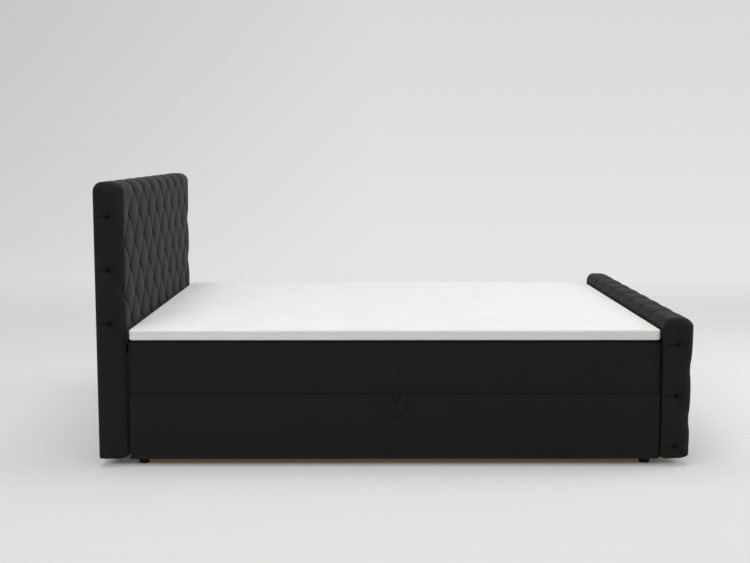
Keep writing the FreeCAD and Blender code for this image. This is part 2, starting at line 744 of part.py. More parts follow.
def crease(start, end, sign, full, run_out):
    """A wedge cut in a narrow side that grows shallow towards its end."""
    along = (end - start).normalize()
    aside = along.cross(Vector(0, 1, 0))
    profiles = []
    for point, (half_height, depth) in ((start, full), (end, run_out)):
        outward = Vector(0, sign * depth, 0)
        profiles.append(Part.makePolygon([
            point + outward + aside * 2 * half_height,
            point - outward,
            point + outward - aside * 2 * half_height,
            point + outward + aside * 2 * half_height,
        ]))
    return Part.makeLoft(profiles, True, True)


def hinge_places():
    first = -(HINGE_COUNT - 1) / 2
    return [(first + index) * size("HingePitch") for index in range(HINGE_COUNT)]


def leaf_screw_places(sign):
    """Screws of all hinge leaves on one side of the axis, on the face of the leaf."""
    first = -(LEAF_SCREW_COUNT - 1) / 2
    spots = []
    for middle in hinge_places():
        for index in range(LEAF_SCREW_COUNT):
            along = middle + (first + index) * size("LeafScrewPitch")
            height = size("SplitHeight") + sign * size("LeafScrewRise")
            spots.append(Vector(along, size("BedWidth") / 2, height))
    return spots


def hinge_bores(label, sign):
    """Holes of the hinge screws, from outside the leaf to the end of their bite."""
    reach = size("LeafScrewBite") + size("LeafThick") + 2 * size("Overrun")
    radius = size("LeafScrewRadius") + size("ThreadFit")
    holes = []
    for spot in leaf_screw_places(sign):
        start = spot + Vector(0, size("LeafThick") + size("Overrun"), 0)
        holes.append(Part.Face(ring(start, radius)).extrude(Vector(0, -reach, 0)))
    return shaped("hinge_bores_" + label, Part.makeCompound(holes))


def hinge_leaf(label, sign):
    """One leaf: a plate, and a tab and a knuckle at every second place of the barrel."""
    pitch = "(HingeLength / %d)" % KNUCKLE_COUNT
    face = "LeafFaceGap + KnuckleRadius"
    clear = "(KnuckleRadius + KnuckleGap)"
    low = clear if sign > 0 else "-LeafHeight"
    plate_start = ("-HingeLength / 2", "-(%s)" % face, low)
    parts = [box(label + "_plate", ("HingeLength", "LeafThick", "LeafHeight - " + clear), plate_start)]
    first = 1 if sign > 0 else 0
    for index in range(first, KNUCKLE_COUNT, 2):
        start = "-HingeLength / 2 + %d * %s + KnuckleGap / 2" % (index, pitch)
        length = pitch + " - KnuckleGap"
        tab_low = "0" if sign > 0 else "-" + clear
        name = "%s_%d" % (label, index)
        parts.append(box(name + "_tab", (length, "LeafThick", clear), (start, "-(%s)" % face, tab_low)))
        parts.append(rod(name + "_knuckle", "KnuckleRadius", length, (start, "0", "0"), ALONG_X))
    bore_start = ("-HingeLength / 2 - Overrun", "0", "0")
    bore = rod(label + "_bore", "PinRadius + PinFit", "HingeLength + 2 * Overrun", bore_start, ALONG_X)
    return cut(label, fuse(label + "_whole", parts), bore)


def make_hinges():
    axis = [Vector(along, size("HingeY"), size("SplitHeight")) for along in hinge_places()]
    spots = [Placement(point, UPRIGHT) for point in axis]
    for name, sign in (("hinge_fixed_leaves", -1), ("hinge_moving_leaves", 1)):
        leaves = group(name + "_blank", hinge_leaf(name + "_one", sign), spots)
        node(name, cut(name, leaves, hinge_bores(name, sign)))
        reach = "LeafThick + LeafScrewBite"
        shank_start = ("0", "0", "-LeafThick")
        shank = prism(name + "_shank", FASTENER_SIDES, "LeafScrewRadius", reach, shank_start)
        head_start = ("0", "0", "-(LeafThick + LeafScrewHeadThick)")
        head = prism(name + "_head", FASTENER_SIDES, "LeafScrewHead", "LeafScrewHeadThick", head_start)
        screw = fuse(name + "_screw", [shank, head])
        inward = Rotation(Vector(1, 0, 0), 90)
        screws = [Placement(point, inward) for point in leaf_screw_places(sign)]
        where = "box" if sign < 0 else "lid"
        node("hinge_screws_" + where, group("hinge_screws_" + where, screw, screws))
    half = "(HingeLength / 2)"
    low = ("0", "0", "-%s - PinHeadThick" % half)
    high = ("0", "0", half)
    pin = fuse("hinge_pin", [
        rod("hinge_pin_shank", "PinRadius", "HingeLength", ("0", "0", "-" + half)),
        prism("hinge_pin_low_head", FASTENER_SIDES, "PinHead", "PinHeadThick", low),
        prism("hinge_pin_high_head", FASTENER_SIDES, "PinHead", "PinHeadThick", high),
    ])
    node("hinge_pins", group("hinge_pins", pin, [Placement(point, ALONG_X) for point in axis]))


def soft_block(label, half_length, half_width, low, high, corner_round, edges=()):
    """A block about the bed's middle with rounded upright corners.

    Each of the edges is the kind of feature, its size and the height of the edges it works on.
    """
    made = body(label)
    extent, corner = centred(half_length, half_width)
    last = block_in(made, "AdditiveBox", extent + ("(%s) - (%s)" % (high, low),), corner + (low,))
    last = worked(made, last, "Fillet", corner_round, is_upright)
    for kind, amount, height in edges:
        last = worked(made, last, kind, amount, is_level_at(number(height)))
    return made


def long_rail(label, side):
    """A rail along one side of the lid, with its outer upright edges rounded."""
    rail = body(label)
    start = "-LidY" if side < 0 else "LidY - LidRailThick"
    extent = ("2 * LidX", "LidRailThick", "LidRailHeight")
    bar = block_in(rail, "AdditiveBox", extent, ("-LidX", start, "LidRailBottom"))
    middle = size("LidY") - size("LidRailThick") / 2
    is_outer = lambda bound: is_upright(bound) and side * bound.YMin > middle
    worked(rail, bar, "Fillet", "LidCornerRound", is_outer)
    return rail


def make_lid():
    """Timber frame, springs, foam and cover of the spring mattress, which is the lid of the box."""
    node("lid_rail_near", long_rail("lid_rail_near", -1))
    node("lid_rail_far", cut("lid_rail_far", long_rail("lid_far_blank", 1), hinge_bores("rail", 1)))
    short_rail = ("LidRailThick", "2 * (LidY - LidRailThick)", "LidRailHeight")
    for end, sign in ENDS.items():
        start = "-LidX" if sign < 0 else "LidX - LidRailThick"
        name = "lid_rail_" + end
        node(name, box(name, short_rail, (start, "-(LidY - LidRailThick)", "LidRailBottom")))
    slat = box(
        "lid_slat",
        ("SlatWidth", "2 * (LidY - LidRailThick)", "SlatThick"),
        ("-SlatWidth / 2", "-(LidY - LidRailThick)", "DeckBottom - SlatThick"),
    )
    first = -(SLAT_COUNT - 1) / 2
    spots = [Vector((first + index) * size("SlatPitch"), 0, 0) for index in range(SLAT_COUNT)]
    node("lid_slats", group("lid_slats", slat, [Placement(spot, UPRIGHT) for spot in spots]))
    node("lid_deck", soft_block("lid_deck", "LidX", "LidY", "DeckBottom", "SpringBottom", "LidCornerRound"))
    wall = soft_block("mattress_edge_foam", "LidX", "LidY", "SpringBottom", "SpringTop", "LidCornerRound")
    extent, corner = centred("(LidX - EdgeFoam)", "(LidY - EdgeFoam)")
    rise = "SpringTop - SpringBottom + 2 * Overrun"
    block_in(wall, "SubtractiveBox", extent + (rise,), corner + ("SpringBottom - Overrun",))
    node("mattress_edge_foam", wall)
    extent, corner = centred("SpringX", "SpringY")
    springs = box("mattress_springs", extent + ("SpringTop - SpringBottom",), corner + ("SpringBottom",))
    node("mattress_springs", springs)
    bevel = ("Chamfer", "FoamBevel", "FoamTop")
    comfort = soft_block(
        "mattress_comfort_foam", "LidX", "LidY", "SpringTop", "FoamTop", "LidCornerRound", [bevel],
    )
    node("mattress_comfort_foam", comfort)
    make_mattress_cover()
    make_topper()


def make_mattress_cover():
    """Quilted fabric over the top and sides of the mattress, turned under its frame."""
    edges = [("Fillet", "MattressRound", "MattressTop"), ("Fillet", "MattressBottomRound", "LidBottom")]
    cover = soft_block(
        "mattress_cover_outline", "(BedLength / 2)", "(BedWidth / 2)", "LidBottom", "MattressTop",
        "MattressCornerRound", edges,
    )
    bevel = ("Chamfer", "FoamBevel", "FoamTop")
    filling = soft_block(
        "mattress_filling", "LidX", "LidY", "LidRailBottom", "FoamTop", "LidCornerRound", [bevel],
    )
    extent, corner = centred("(LidX - LidRailThick)", "(LidY - LidRailThick)")
    mouth = box("mattress_mouth", extent + ("LidReturn + 2 * Overrun",), corner + ("LidBottom - Overrun",))
    inside = fuse("mattress_inside", [filling, mouth, hinge_bores("mattress", 1)])
    node("mattress_cover", cut("mattress_cover", cover, inside))


def make_topper():
    """Foam core in a closed cover, lying on the spring mattress."""
    top = "MattressTop + TopperThick"
    bevels = [("Chamfer", "TopperBevel", top), ("Chamfer", "TopperBevel", "MattressTop")]
    outline = soft_block(
        "topper_outline", "(TopperLength / 2)", "(BedWidth / 2)", "MattressTop", top,
        "TopperCornerRound", bevels,
    )
    inside = []
    for label in ("topper_hollow", "topper_core"):
        inside.append(soft_block(
            label, "(TopperLength / 2 - TopperCover)", "(BedWidth / 2 - TopperCover)",
            "MattressTop + TopperCover", top + " - TopperCover", "TopperCornerRound - TopperCover",
        ))
    node("topper_core", inside[1])
    node("topper_cover", cut("topper_cover", outline, inside[0]))


def strut_bracket(label, turned, reach):
    """A plate with a headed stud, whose foot lies on a panel and whose stud stands along +X."""
    level = "BracketHeight" if turned else "BracketWidth"
    rise = "BracketWidth" if turned else "BracketHeight"
    start = ("0", "-%s / 2" % level, "-BracketWidth / 2")
    plate = box(label + "_plate", ("BracketThick", level, rise), start)
    stud = rod(label + "_stud", "StudRadius", reach, ("0", "0", "0"), ALONG_X)
    head = prism(label + "_head", HEAD_SIDES, "StudHead", "StudHeadThick", (reach, "0", "0"), ALONG_X)
    return fuse(label, [plate, stud, head])


def make_strut_brackets():
    """Brackets on the end panels of the box and on the end rails of the lid."""
    turn = {"head": UPRIGHT, "foot": Rotation(Vector(0, 0, 1), 180)}
    lower = strut_bracket("lower_bracket", False, "LowerStud")
    upper = strut_bracket("upper_bracket", True, "UpperStud")
    sites = {
        "strut_brackets_box": (lower, "InnerX", "StrutBaseY", "StrutBaseZ"),
        "strut_brackets_lid": (upper, "LidX - LidRailThick", "StrutLidY", "StrutLidZ"),
    }
    for name, (source, along, across, height) in sites.items():
        spots = []
        for end, sign in ENDS.items():
            spots.append(Placement(Vector(sign * number(along), number(across), number(height)), turn[end]))
        node(name, group(name, source, spots))


def make_struts():
    """A gas strut at each end: a tube with its eye, and a rod with piston and eye that slides in it."""
    tube_outline = [
        ("0", "EyeRadius - TubeWall"),
        ("TubeRadius", "EyeRadius - TubeWall"),
        ("TubeRadius", "TubeLength"),
        ("RodRadius + RodFit", "TubeLength"),
        ("RodRadius + RodFit", "TubeLength - GlandLength"),
        ("TubeRadius - TubeWall", "TubeLength - GlandLength"),
        ("TubeRadius - TubeWall", "EyeRadius + TubeEndWall"),
        ("0", "EyeRadius + TubeEndWall"),
    ]
    piston = "(EyeRadius + TubeEndWall + PistonRest)"
    neck = "(StrutLength - sqrt(RodEyeRadius ^ 2 - RodRadius ^ 2))"
    rod_outline = [
        ("0", piston),
        ("TubeRadius - TubeWall - PistonFit", piston),
        ("TubeRadius - TubeWall - PistonFit", piston + " + PistonLength"),
        ("RodRadius", piston + " + PistonLength"),
        ("RodRadius", neck),
        ("0", neck),
    ]
    for end, sign in ENDS.items():
        tube = revolved("tube_" + end, tube_outline)
        eye = rod("tube_eye_" + end, "EyeRadius", "EyeThick", ("-EyeThick / 2", "0", "0"), ALONG_X)
        hole_start = ("-EyeThick / 2 - Overrun", "0", "0")
        hole = rod("tube_hole_" + end, "StudRadius + StudFit", "EyeThick + 2 * Overrun", hole_start, ALONG_X)
        cylinder = cut("strut_cylinder_" + end, fuse("tube_whole_" + end, [tube, eye]), hole)
        shaft = revolved("shaft_" + end, rod_outline)
        eye_start = ("-EyeThick / 2", "0", "StrutLength")
        far_eye = rod("rod_eye_" + end, "RodEyeRadius", "EyeThick", eye_start, ALONG_X)
        hole_start = ("-EyeThick / 2 - Overrun", "0", "StrutLength")
        far_hole = rod("rod_hole_" + end, "RodEyeBore", "EyeThick + 2 * Overrun", hole_start, ALONG_X)
        shank = cut("strut_rod_" + end, fuse("shaft_whole_" + end, [shaft, far_eye]), far_hole)
        for name, piece in (("strut_cylinder_" + end, cylinder), ("strut_rod_" + end, shank)):
            place(piece, ("%d * StrutX" % sign, "StrutBaseY", "StrutBaseZ"))
            piece.Placement.Rotation = Rotation(Vector(1, 0, 0), size("StrutTurn"))
            node(name, piece)


def make_pull_loop():
    """A strap folded to a loop that hangs from the seam: two legs and a round turn at the bottom."""
    half = size("LoopWidth") / 2
    drop = size("LoopDrop")
    slot_half = half - size("StrapWidth")
    slot = size("LoopSlot")
    outer = u_outline(half, drop)
    inner = u_outline(slot_half, slot)
    strap = outer.extrude(Vector(0, size("LoopThick"), 0))
    finger = inner.extrude(Vector(0, size("LoopThick"), 0))
    loop = shaped("pull_loop", strap.cut(finger))
    place(loop, ("LoopOffset", "-(BedWidth / 2 + LoopFaceGap + LoopThick)", "SplitHeight"))
    node("pull_loop", loop)


def u_outline(half, drop):
    """A face in the XZ plane, straight down both sides and closed by half a circle."""
    straight = -(drop - half)
    left_top = Vector(-half, 0, 0)
    right_top = Vector(half, 0, 0)
    left_low = Vector(-half, 0, straight)
    right_low = Vector(half, 0, straight)
    bottom = Vector(0, 0, -drop)
    return Part.Face(Part.Wire([
        Part.LineSegment(left_top, right_top).toShape(),
        Part.LineSegment(right_top, right_low).toShape(),
        Part.Arc(right_low, bottom, left_low).toShape(),
        Part.LineSegment(left_low, left_top).toShape(),
    ]))


def write_parts():
    """Checks every object, then writes one STEP file for each finished piece."""
    doc.recompute()
    for item in doc.Objects:
        if "Invalid" in item.State or "Error" in item.State:
            raise RuntimeError("failed object: " + item.Label)
    for name, piece in nodes.items():
        if piece.Shape.isNull() or not piece.Shape.isValid() or not piece.Shape.Solids:
            raise RuntimeError("bad shape: " + name)
    os.makedirs("parts", exist_ok=True)
    for name, piece in nodes.items():
        piece.Shape.exportStep(os.path.join("parts", name + ".step"))
    print("%d pieces written" % len(nodes))


fill_sheet()
make_storage_box()
make_feet()
make_board("headboard", "HeadBack", "HeadHeight", "HeadTuftRow", "HeadTuftDrop", -1)
make_board("footboard", "FootBack", "FootHeight", "FootTuftRow", "FootTuftDrop", 1)
make_lid()
make_hinges()
make_strut_brackets()
make_struts()
make_pull_loop()
write_parts()
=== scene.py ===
"""Looks of a box spring bed with tufted boards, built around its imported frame.

Each sub-assembly of the bed is a class that holds its sizes, in metres, and
builds and dresses its own pieces. The bed's frame is X from headboard to
footboard, Y away from the camera, and Z up from the floor.
"""

import itertools
import logging
import math
import sys
from dataclasses import dataclass
from enum import Enum
from typing import Callable, Iterable, Sequence

import bmesh
import bpy
import numpy as np
from mathutils import Euler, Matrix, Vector

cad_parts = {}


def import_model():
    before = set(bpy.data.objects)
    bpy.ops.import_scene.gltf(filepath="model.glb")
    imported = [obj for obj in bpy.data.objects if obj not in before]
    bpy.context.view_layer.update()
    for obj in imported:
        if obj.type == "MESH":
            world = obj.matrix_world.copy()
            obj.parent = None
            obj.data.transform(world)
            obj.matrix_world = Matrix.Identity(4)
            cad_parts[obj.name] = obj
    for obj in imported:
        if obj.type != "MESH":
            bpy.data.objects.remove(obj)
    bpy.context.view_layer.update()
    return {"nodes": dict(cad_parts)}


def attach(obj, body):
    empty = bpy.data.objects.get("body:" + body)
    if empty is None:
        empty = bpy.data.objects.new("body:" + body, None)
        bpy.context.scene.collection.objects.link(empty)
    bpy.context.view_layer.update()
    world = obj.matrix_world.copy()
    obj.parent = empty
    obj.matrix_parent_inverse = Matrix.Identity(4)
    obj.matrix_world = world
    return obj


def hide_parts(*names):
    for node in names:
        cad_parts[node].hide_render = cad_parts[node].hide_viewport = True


LOG = logging.getLogger("box_spring_bed")
Values = np.ndarray
Number = "Formula | float"
Knots = tuple[tuple[float, ...], tuple[float, ...]]

# --- Node arithmetic ---


class Formula:
    """A number worked out by nodes, so that a rule in a tree reads as arithmetic."""

    def __init__(self, tree: bpy.types.NodeTree, socket: bpy.types.NodeSocket) -> None:
        """Keeps the tree and the socket that carries the number."""
        self.tree = tree
        self.socket = socket

    def apply(self, operation: str, *others: Number) -> "Formula":
        """Adds one Math node.

        Args:
            operation: Name of the Math node's operation.
            others: The second and third numbers, where it has them.

        Returns:
            The node's result.
        """
        node = self.tree.nodes.new("ShaderNodeMath")
        node.operation = operation
        self.tree.links.new(self.socket, node.inputs[0])
        for place, other in enumerate(others, start=1):
            if isinstance(other, Formula):
                self.tree.links.new(other.socket, node.inputs[place])
            else:
                node.inputs[place].default_value = float(other)
        return Formula(self.tree, node.outputs[0])

    def __add__(self, other: Number) -> "Formula":
        """Sum."""
        return self.apply("ADD", other)

    def __sub__(self, other: Number) -> "Formula":
        """Difference."""
        return self.apply("SUBTRACT", other)

    def __mul__(self, other: Number) -> "Formula":
        """Product."""
        return self.apply("MULTIPLY", other)

    def __truediv__(self, other: Number) -> "Formula":
        """Quotient."""
        return self.apply("DIVIDE", other)

    def __rsub__(self, other: float) -> "Formula":
        """A plain number less this one."""
        return self.apply("MULTIPLY_ADD", -1.0, other)

    def wave(self) -> "Formula":
        """Size of the sine of pi times the number: 0 at whole numbers, 1 halfway."""
        return (self * math.pi).apply("SINE").apply("ABSOLUTE")

    def within(self, low: float, high: float) -> "Formula":
        """The number kept between two limits."""
        return self.apply("MAXIMUM", low).apply("MINIMUM", high)

    def ramp(self, start: float, end: float) -> "Formula":
        """0 at the start and 1 at the end, in a straight line between and level beyond."""
        return ((self - start) / (end - start)).within(0.0, 1.0)

    def over(self, limit: Number) -> "Formula":
        """1 where the number is over the limit, and 0 elsewhere."""
        return self.apply("GREATER_THAN", limit)

    def choose(self, where_set: "Formula", otherwise: "Formula") -> "Formula":
        """where_set where this mask is 1, and otherwise where it is 0."""
        return otherwise + (where_set - otherwise) * self


def add_node(
    tree: bpy.types.NodeTree, kind: str, inputs: dict | None = None, **settings: object
) -> bpy.types.Node:
    """Adds a node, sets it and links it.

    Args:
        tree: Tree that gets the node.
        kind: The node's type name.
        inputs: Socket name or number to a Formula, a socket or a plain value.
        settings: Attributes of the node.

    Returns:
        The new node.
    """
    node = tree.nodes.new(kind)
    for key, value in settings.items():
        setattr(node, key, value)
    for key, value in (inputs or {}).items():
        if isinstance(value, Formula):
            tree.links.new(value.socket, node.inputs[key])
        elif isinstance(value, bpy.types.NodeSocket):
            tree.links.new(value, node.inputs[key])
        else:
            node.inputs[key].default_value = value
    return node


def cleared(block: bpy.types.Material | bpy.types.World) -> bpy.types.NodeTree:
    """The emptied node tree of a new material or world."""
    block.use_nodes = True
    block.node_tree.nodes.clear()
    return block.node_tree


# --- Geometry Nodes trees ---


class RuleTree:
    """A Geometry Nodes tree with named inputs that makes pieces by a rule."""

    title = "rule"
    numbers: tuple[str, ...] = ()

    def __init__(self) -> None:
        """Makes the tree with its sockets and lets the rule fill it."""
        self.tree = bpy.data.node_groups.new(self.title, "GeometryNodeTree")
        sockets = self.tree.interface
        for way in ("OUTPUT", "INPUT"):
            sockets.new_socket(name="Geometry", in_out=way, socket_type="NodeSocketGeometry")
        kinds = {name: "NodeSocketFloat" for name in self.numbers} | {"Finish": "NodeSocketMaterial"}
        self.keys = {
            name: sockets.new_socket(name=name, in_out="INPUT", socket_type=kind).identifier
            for name, kind in kinds.items()
        }
        self.start = self.tree.nodes.new("NodeGroupInput")
        realized = self.add("GeometryNodeRealizeInstances", {0: self.fill()})
        finish = self.start.outputs["Finish"]
        dressed = self.add("GeometryNodeSetMaterial", {"Geometry": realized, "Material": finish})
        add_node(self.tree, "NodeGroupOutput", {0: dressed})

    def add(self, kind: str, inputs: dict | None = None, **settings: object) -> bpy.types.NodeSocket:
        """First output of a new node; the arguments are those of add_node."""
        return add_node(self.tree, kind, inputs, **settings).outputs[0]

    def number(self, name: str) -> Formula:
        """A named input as a number for the rule."""
        return Formula(self.tree, self.start.outputs[name])

    def stored(self, name: str) -> Formula:
        """A stored attribute of the points as a number for the rule."""
        return Formula(self.tree, self.add("GeometryNodeInputNamedAttribute", {"Name": name}))

    def fill(self) -> bpy.types.NodeSocket:
        """Builds the rule and returns the socket with its geometry."""
        return self.start.outputs["Geometry"]

    def grow(self, piece: bpy.types.Object, finish: bpy.types.Material, **values: float) -> None:
        """Runs the tree on a piece and leaves it with a plain mesh.

        Args:
            piece: Object whose mesh goes in.
            finish: Material of the result.
            values: The rule's inputs, by name with spaces as underscores.
        """
        modifier = piece.modifiers.new(self.title, "NODES")
        modifier.node_group = self.tree
        modifier[self.keys["Finish"]] = finish
        for name, value in values.items():
            modifier[self.keys[name.replace("_", " ")]] = float(value)
        settle(piece)


class TuftRule(RuleTree):
    """Draws diamond tufts, their pleats and the straight pleats over the top into a smooth pad."""

    title = "tufting"
    numbers = (
        "Column pitch", "Row pitch", "Top row", "Lowest row", "Outer column", "Dome height",
        "Pleat rise", "Dome edge", "Tuck edge", "Top sharpness", "Unevenness", "Seed",
    )
    sharpening = 0.05  # distance over the top row in which the straight pleats reach their sharpness

    def fill(self) -> bpy.types.NodeSocket:
        """Moves the points inwards by the depth that the rule gives, and stores the share of painted
        shade in the pleats.
        """
        row, top_row, lowest = (self.number(name) for name in ("Row pitch", "Top row", "Lowest row"))
        across, along = self.stored("across") / self.number("Column pitch"), self.stored("along")
        rows = (along - top_row) / row
        falling, rising = (across + rows).wave(), (across - rows).wave()
        dome = (falling * rising).apply("POWER", self.number("Dome edge")) * self.number("Dome height")
        ridge = falling.apply("MAXIMUM", rising).apply("POWER", self.number("Tuck edge"))
        lattice = dome + ridge * self.number("Pleat rise")

        columns = across.wave()
        past_top = ((along - top_row) / self.sharpening).within(0.0, 1.0)
        straight = self.swell(columns, 1.0 - past_top * self.number("Top sharpness"))
        below = ((lowest - along) / row).within(0.0, 0.5)
        plain = self.swell(self.union(columns, below.wave()))
        outer_row = top_row - row * 0.5
        above = ((along - outer_row) / row).within(0.0, 0.5)
        corner = self.swell(self.union((across + 0.5).wave(), above.wave()))

        height = along.over(top_row).choose(straight, lattice)
        in_corner = across.apply("ABSOLUTE").over(self.number("Outer column")) * along.over(outer_row)
        height = in_corner.choose(corner, height)
        height = lowest.over(along).choose(plain, height)
        spot = {"Vector": self.add("GeometryNodeInputPosition"), "W": self.number("Seed")}
        noise = self.add(
            "ShaderNodeTexNoise", spot | {"Scale": 7.0, "Detail": 1.5}, noise_dimensions="4D"
        )
        uneven = Formula(self.tree, noise) * self.number("Unevenness")
        sunk = self.number("Dome height") + self.number("Pleat rise") - height
        amount = self.stored("amount")
        depth = (sunk + uneven) * amount + self.stored("press")
        # Share of painted shade in the pleats, stored for the velvet's colour: the deeper the pleat, the
        # darker.
        crease_shade = (sunk / self.number("Dome height")).within(0.0, 1.0) * amount
        marked = self.add(
            "GeometryNodeStoreNamedAttribute",
            {"Geometry": self.start.outputs["Geometry"], "Name": "crease_shade", "Value": crease_shade},
            data_type="FLOAT",
            domain="POINT",
        )
        normal = self.add("GeometryNodeInputNormal")
        shift = self.add("ShaderNodeVectorMath", {0: normal, "Scale": depth * -1.0}, operation="SCALE")
        return self.add("GeometryNodeSetPosition", {"Geometry": marked, "Offset": shift})

    def swell(self, share: Formula, sharpness: Number = 1.0) -> Formula:
        """Height of the cloth where it rises from a pleat at 0 to a crown at 1.

        Args:
            share: How far the point is from the pleat.
            sharpness: Under 1 it makes the pleat narrower.

        Returns:
            The height over the bottom of the tucks.
        """
        dome = share.apply("POWER", self.number("Dome edge") * 2.0 * sharpness)
        ridge = share.apply("POWER", self.number("Tuck edge") * sharpness)
        return dome * self.number("Dome height") + ridge * self.number("Pleat rise")

    @staticmethod
    def union(first: Formula, second: Formula) -> Formula:
        """Smooth union of two rises from 0 to 1."""
        gap = (1.0 - first * first) * (1.0 - second * second)
        return (1.0 - gap).apply("SQRT")


class StitchRule(RuleTree):
    """Sets rounded stitches along the edges of a piece that is only a path."""

    title = "stitches"
    numbers = ("Pitch", "Length", "Width", "Height")

    def fill(self) -> bpy.types.NodeSocket:
        """Resamples the path and sets one small thread on each point."""
        path = self.add("GeometryNodeMeshToCurve", {0: self.start.outputs["Geometry"]})
        spacing = {"Curve": path, "Length": self.number("Pitch")}
        points = self.add("GeometryNodeResampleCurve", spacing, mode="LENGTH")
        tangent = self.add("GeometryNodeInputTangent")
        turned = self.add("FunctionNodeAlignRotationToVector", {"Vector": tangent}, axis="X")
        thread = self.add("GeometryNodeMeshUVSphere", {"Segments": 6, "Rings": 4, "Radius": 0.5})
        sizes = {"X": self.number("Length"), "Y": self.number("Width"), "Z": self.number("Height")}
        extent = self.add("ShaderNodeCombineXYZ", sizes)
        shaped = self.add("GeometryNodeTransform", {"Geometry": thread, "Scale": extent})
        placing = {"Points": points, "Instance": shaped, "Rotation": turned}
        return self.add("GeometryNodeInstanceOnPoints", placing)

    def sew(
        self,
        name: str,
        path: Sequence[Sequence[float]],
        closed: bool,
        body: str,
        slot: "Slot",
        **sizes: float,
    ) -> bpy.types.Object:
        """Makes a row of stitches along a path and hands it over.

        Args:
            name: The row's name.
            path: Corners of the path.
            closed: Whether it runs back to its start.
            body: CAD body that it moves with.
            slot: The slot that it takes its finish from.
            sizes: The rule's inputs.

        Returns:
            The row.
        """
        row = path_piece(name, path, closed)
        self.grow(row, slot.material, **sizes)
        hand_over(row, body, slot)
        return row


class PocketRule(RuleTree):
    """Fills a rectangle with sewn spring pockets in rows."""

    title = "spring pockets"
    numbers = ("Size X", "Size Y", "Columns", "Rows", "Radius", "Height", "Rise")
    tightness = 0.7  # the ends, half a height from the middle, lose a quarter of this share

    def fill(self) -> bpy.types.NodeSocket:
        """Sets one barrel on each point of a grid."""
        sources = {"Size X": "Size X", "Size Y": "Size Y", "Vertices X": "Columns", "Vertices Y": "Rows"}
        sizes = {socket: self.number(name) for socket, name in sources.items()}
        grid = self.add("GeometryNodeMeshGrid", sizes)
        height = self.number("Height")
        sizes = {"Vertices": 8, "Side Segments": 3, "Radius": self.number("Radius"), "Depth": height}
        barrel = self.add("GeometryNodeMeshCylinder", sizes)
        place = self.add("GeometryNodeInputPosition")
        parts = add_node(self.tree, "ShaderNodeSeparateXYZ", {0: place})
        rise = Formula(self.tree, parts.outputs["Z"]) / height
        waist = 1.0 - (rise * rise) * self.tightness
        pulled = self.add("ShaderNodeCombineXYZ", {"X": waist, "Y": waist, "Z": 1.0})
        shape = self.add("ShaderNodeVectorMath", {0: place, 1: pulled}, operation="MULTIPLY")
        pinched = self.add("GeometryNodeSetPosition", {"Geometry": barrel, "Position": shape})
        placed = self.add("GeometryNodeInstanceOnPoints", {"Points": grid, "Instance": pinched})
        lift = self.add("ShaderNodeCombineXYZ", {"Z": self.number("Rise")})
        return self.add("GeometryNodeTransform", {"Geometry": placed, "Translation": lift})


# --- Shader groups ---


class PatternGroup:
    """A shader node group with named inputs that puts out a shade and a height."""

    title = "pattern"
    numbers: tuple[str, ...] = ()
    made: dict[str, bpy.types.NodeTree] = {}

    @classmethod
    def tree(cls) -> bpy.types.NodeTree:
        """The group's tree, made on its first use."""
        if cls.title not in PatternGroup.made:
            tree = bpy.data.node_groups.new(cls.title, "ShaderNodeTree")
            sockets = tree.interface
            sockets.new_socket(name="Vector", in_out="INPUT", socket_type="NodeSocketVector")
            ways = {name: "INPUT" for name in cls.numbers} | {"Shade": "OUTPUT", "Height": "OUTPUT"}
            for name, way in ways.items():
                sockets.new_socket(name=name, in_out=way, socket_type="NodeSocketFloat")
            shade, height = cls.draw(tree.nodes.new("NodeGroupInput"))
            add_node(tree, "NodeGroupOutput", {"Shade": shade, "Height": height})
            PatternGroup.made[cls.title] = tree
        return PatternGroup.made[cls.title]

    @classmethod
    def draw(cls, start: bpy.types.Node) -> tuple[Formula, Formula]:
        """Builds the pattern and returns its shade, about 0 to 1, and its height."""
        raise NotImplementedError

    @staticmethod
    def noise(
        start: bpy.types.Node, scale: str | float, detail: float = 2.0, rough: float = 0.5
    ) -> Formula:
        """A noise texture's value; a scale that is a name is one of the group's inputs."""
        scale = start.outputs[scale] if isinstance(scale, str) else scale
        inputs = {"Vector": start.outputs["Vector"], "Scale": scale, "Detail": detail, "Roughness": rough}
        tree = start.id_data
        return Formula(tree, add_node(tree, "ShaderNodeTexNoise", inputs).outputs[0])


class PileGroup(PatternGroup):
    """Short velvety pile: broad brushed patches, a fine nap and faint threads."""

    title = "brushed pile"
    numbers = ("Patch scale", "Nap scale", "Patch share")

    @classmethod
    def draw(cls, start: bpy.types.Node) -> tuple[Formula, Formula]:
        """Mixes broad patches with the nap."""
        patches = cls.noise(start, "Patch scale", 3.0, 0.6)
        nap = cls.noise(start, "Nap scale", 1.0)
        specks = cls.noise(start, 160.0, 2.0, 0.7)
        grain = nap * 0.5 + specks * 0.5
        shade = grain + (patches - grain) * Formula(start.id_data, start.outputs["Patch share"])
        return ((shade - 0.5) * 1.8 + 0.5).within(0.0, 1.0), nap * 0.6 + specks * 0.4


class KnitGroup(PatternGroup):
    """Knitted or woven cloth: three families of threads over a faint unevenness."""

    title = "threads"
    numbers = ("Thread scale", "Uneven scale")

    @classmethod
    def draw(cls, start: bpy.types.Node) -> tuple[Formula, Formula]:
        """Crosses three wave textures and adds the unevenness."""
        tree = start.id_data
        inputs = {"Vector": start.outputs["Vector"], "Scale": start.outputs["Thread scale"]}
        inputs |= {"Distortion": 1.5, "Detail": 1.0}
        x, y, z = (
            Formula(tree, add_node(tree, "ShaderNodeTexWave", inputs, bands_direction=way).outputs["Fac"])
            for way in "XYZ"
        )
        weave = x.apply("MAXIMUM", y).apply("MAXIMUM", z)
        uneven = cls.noise(start, "Uneven scale", 3.0)
        fluff = cls.noise(start, 240.0)
        return uneven * 0.55 + weave * 0.2 + fluff * 0.25, weave * 0.6 + fluff * 0.4


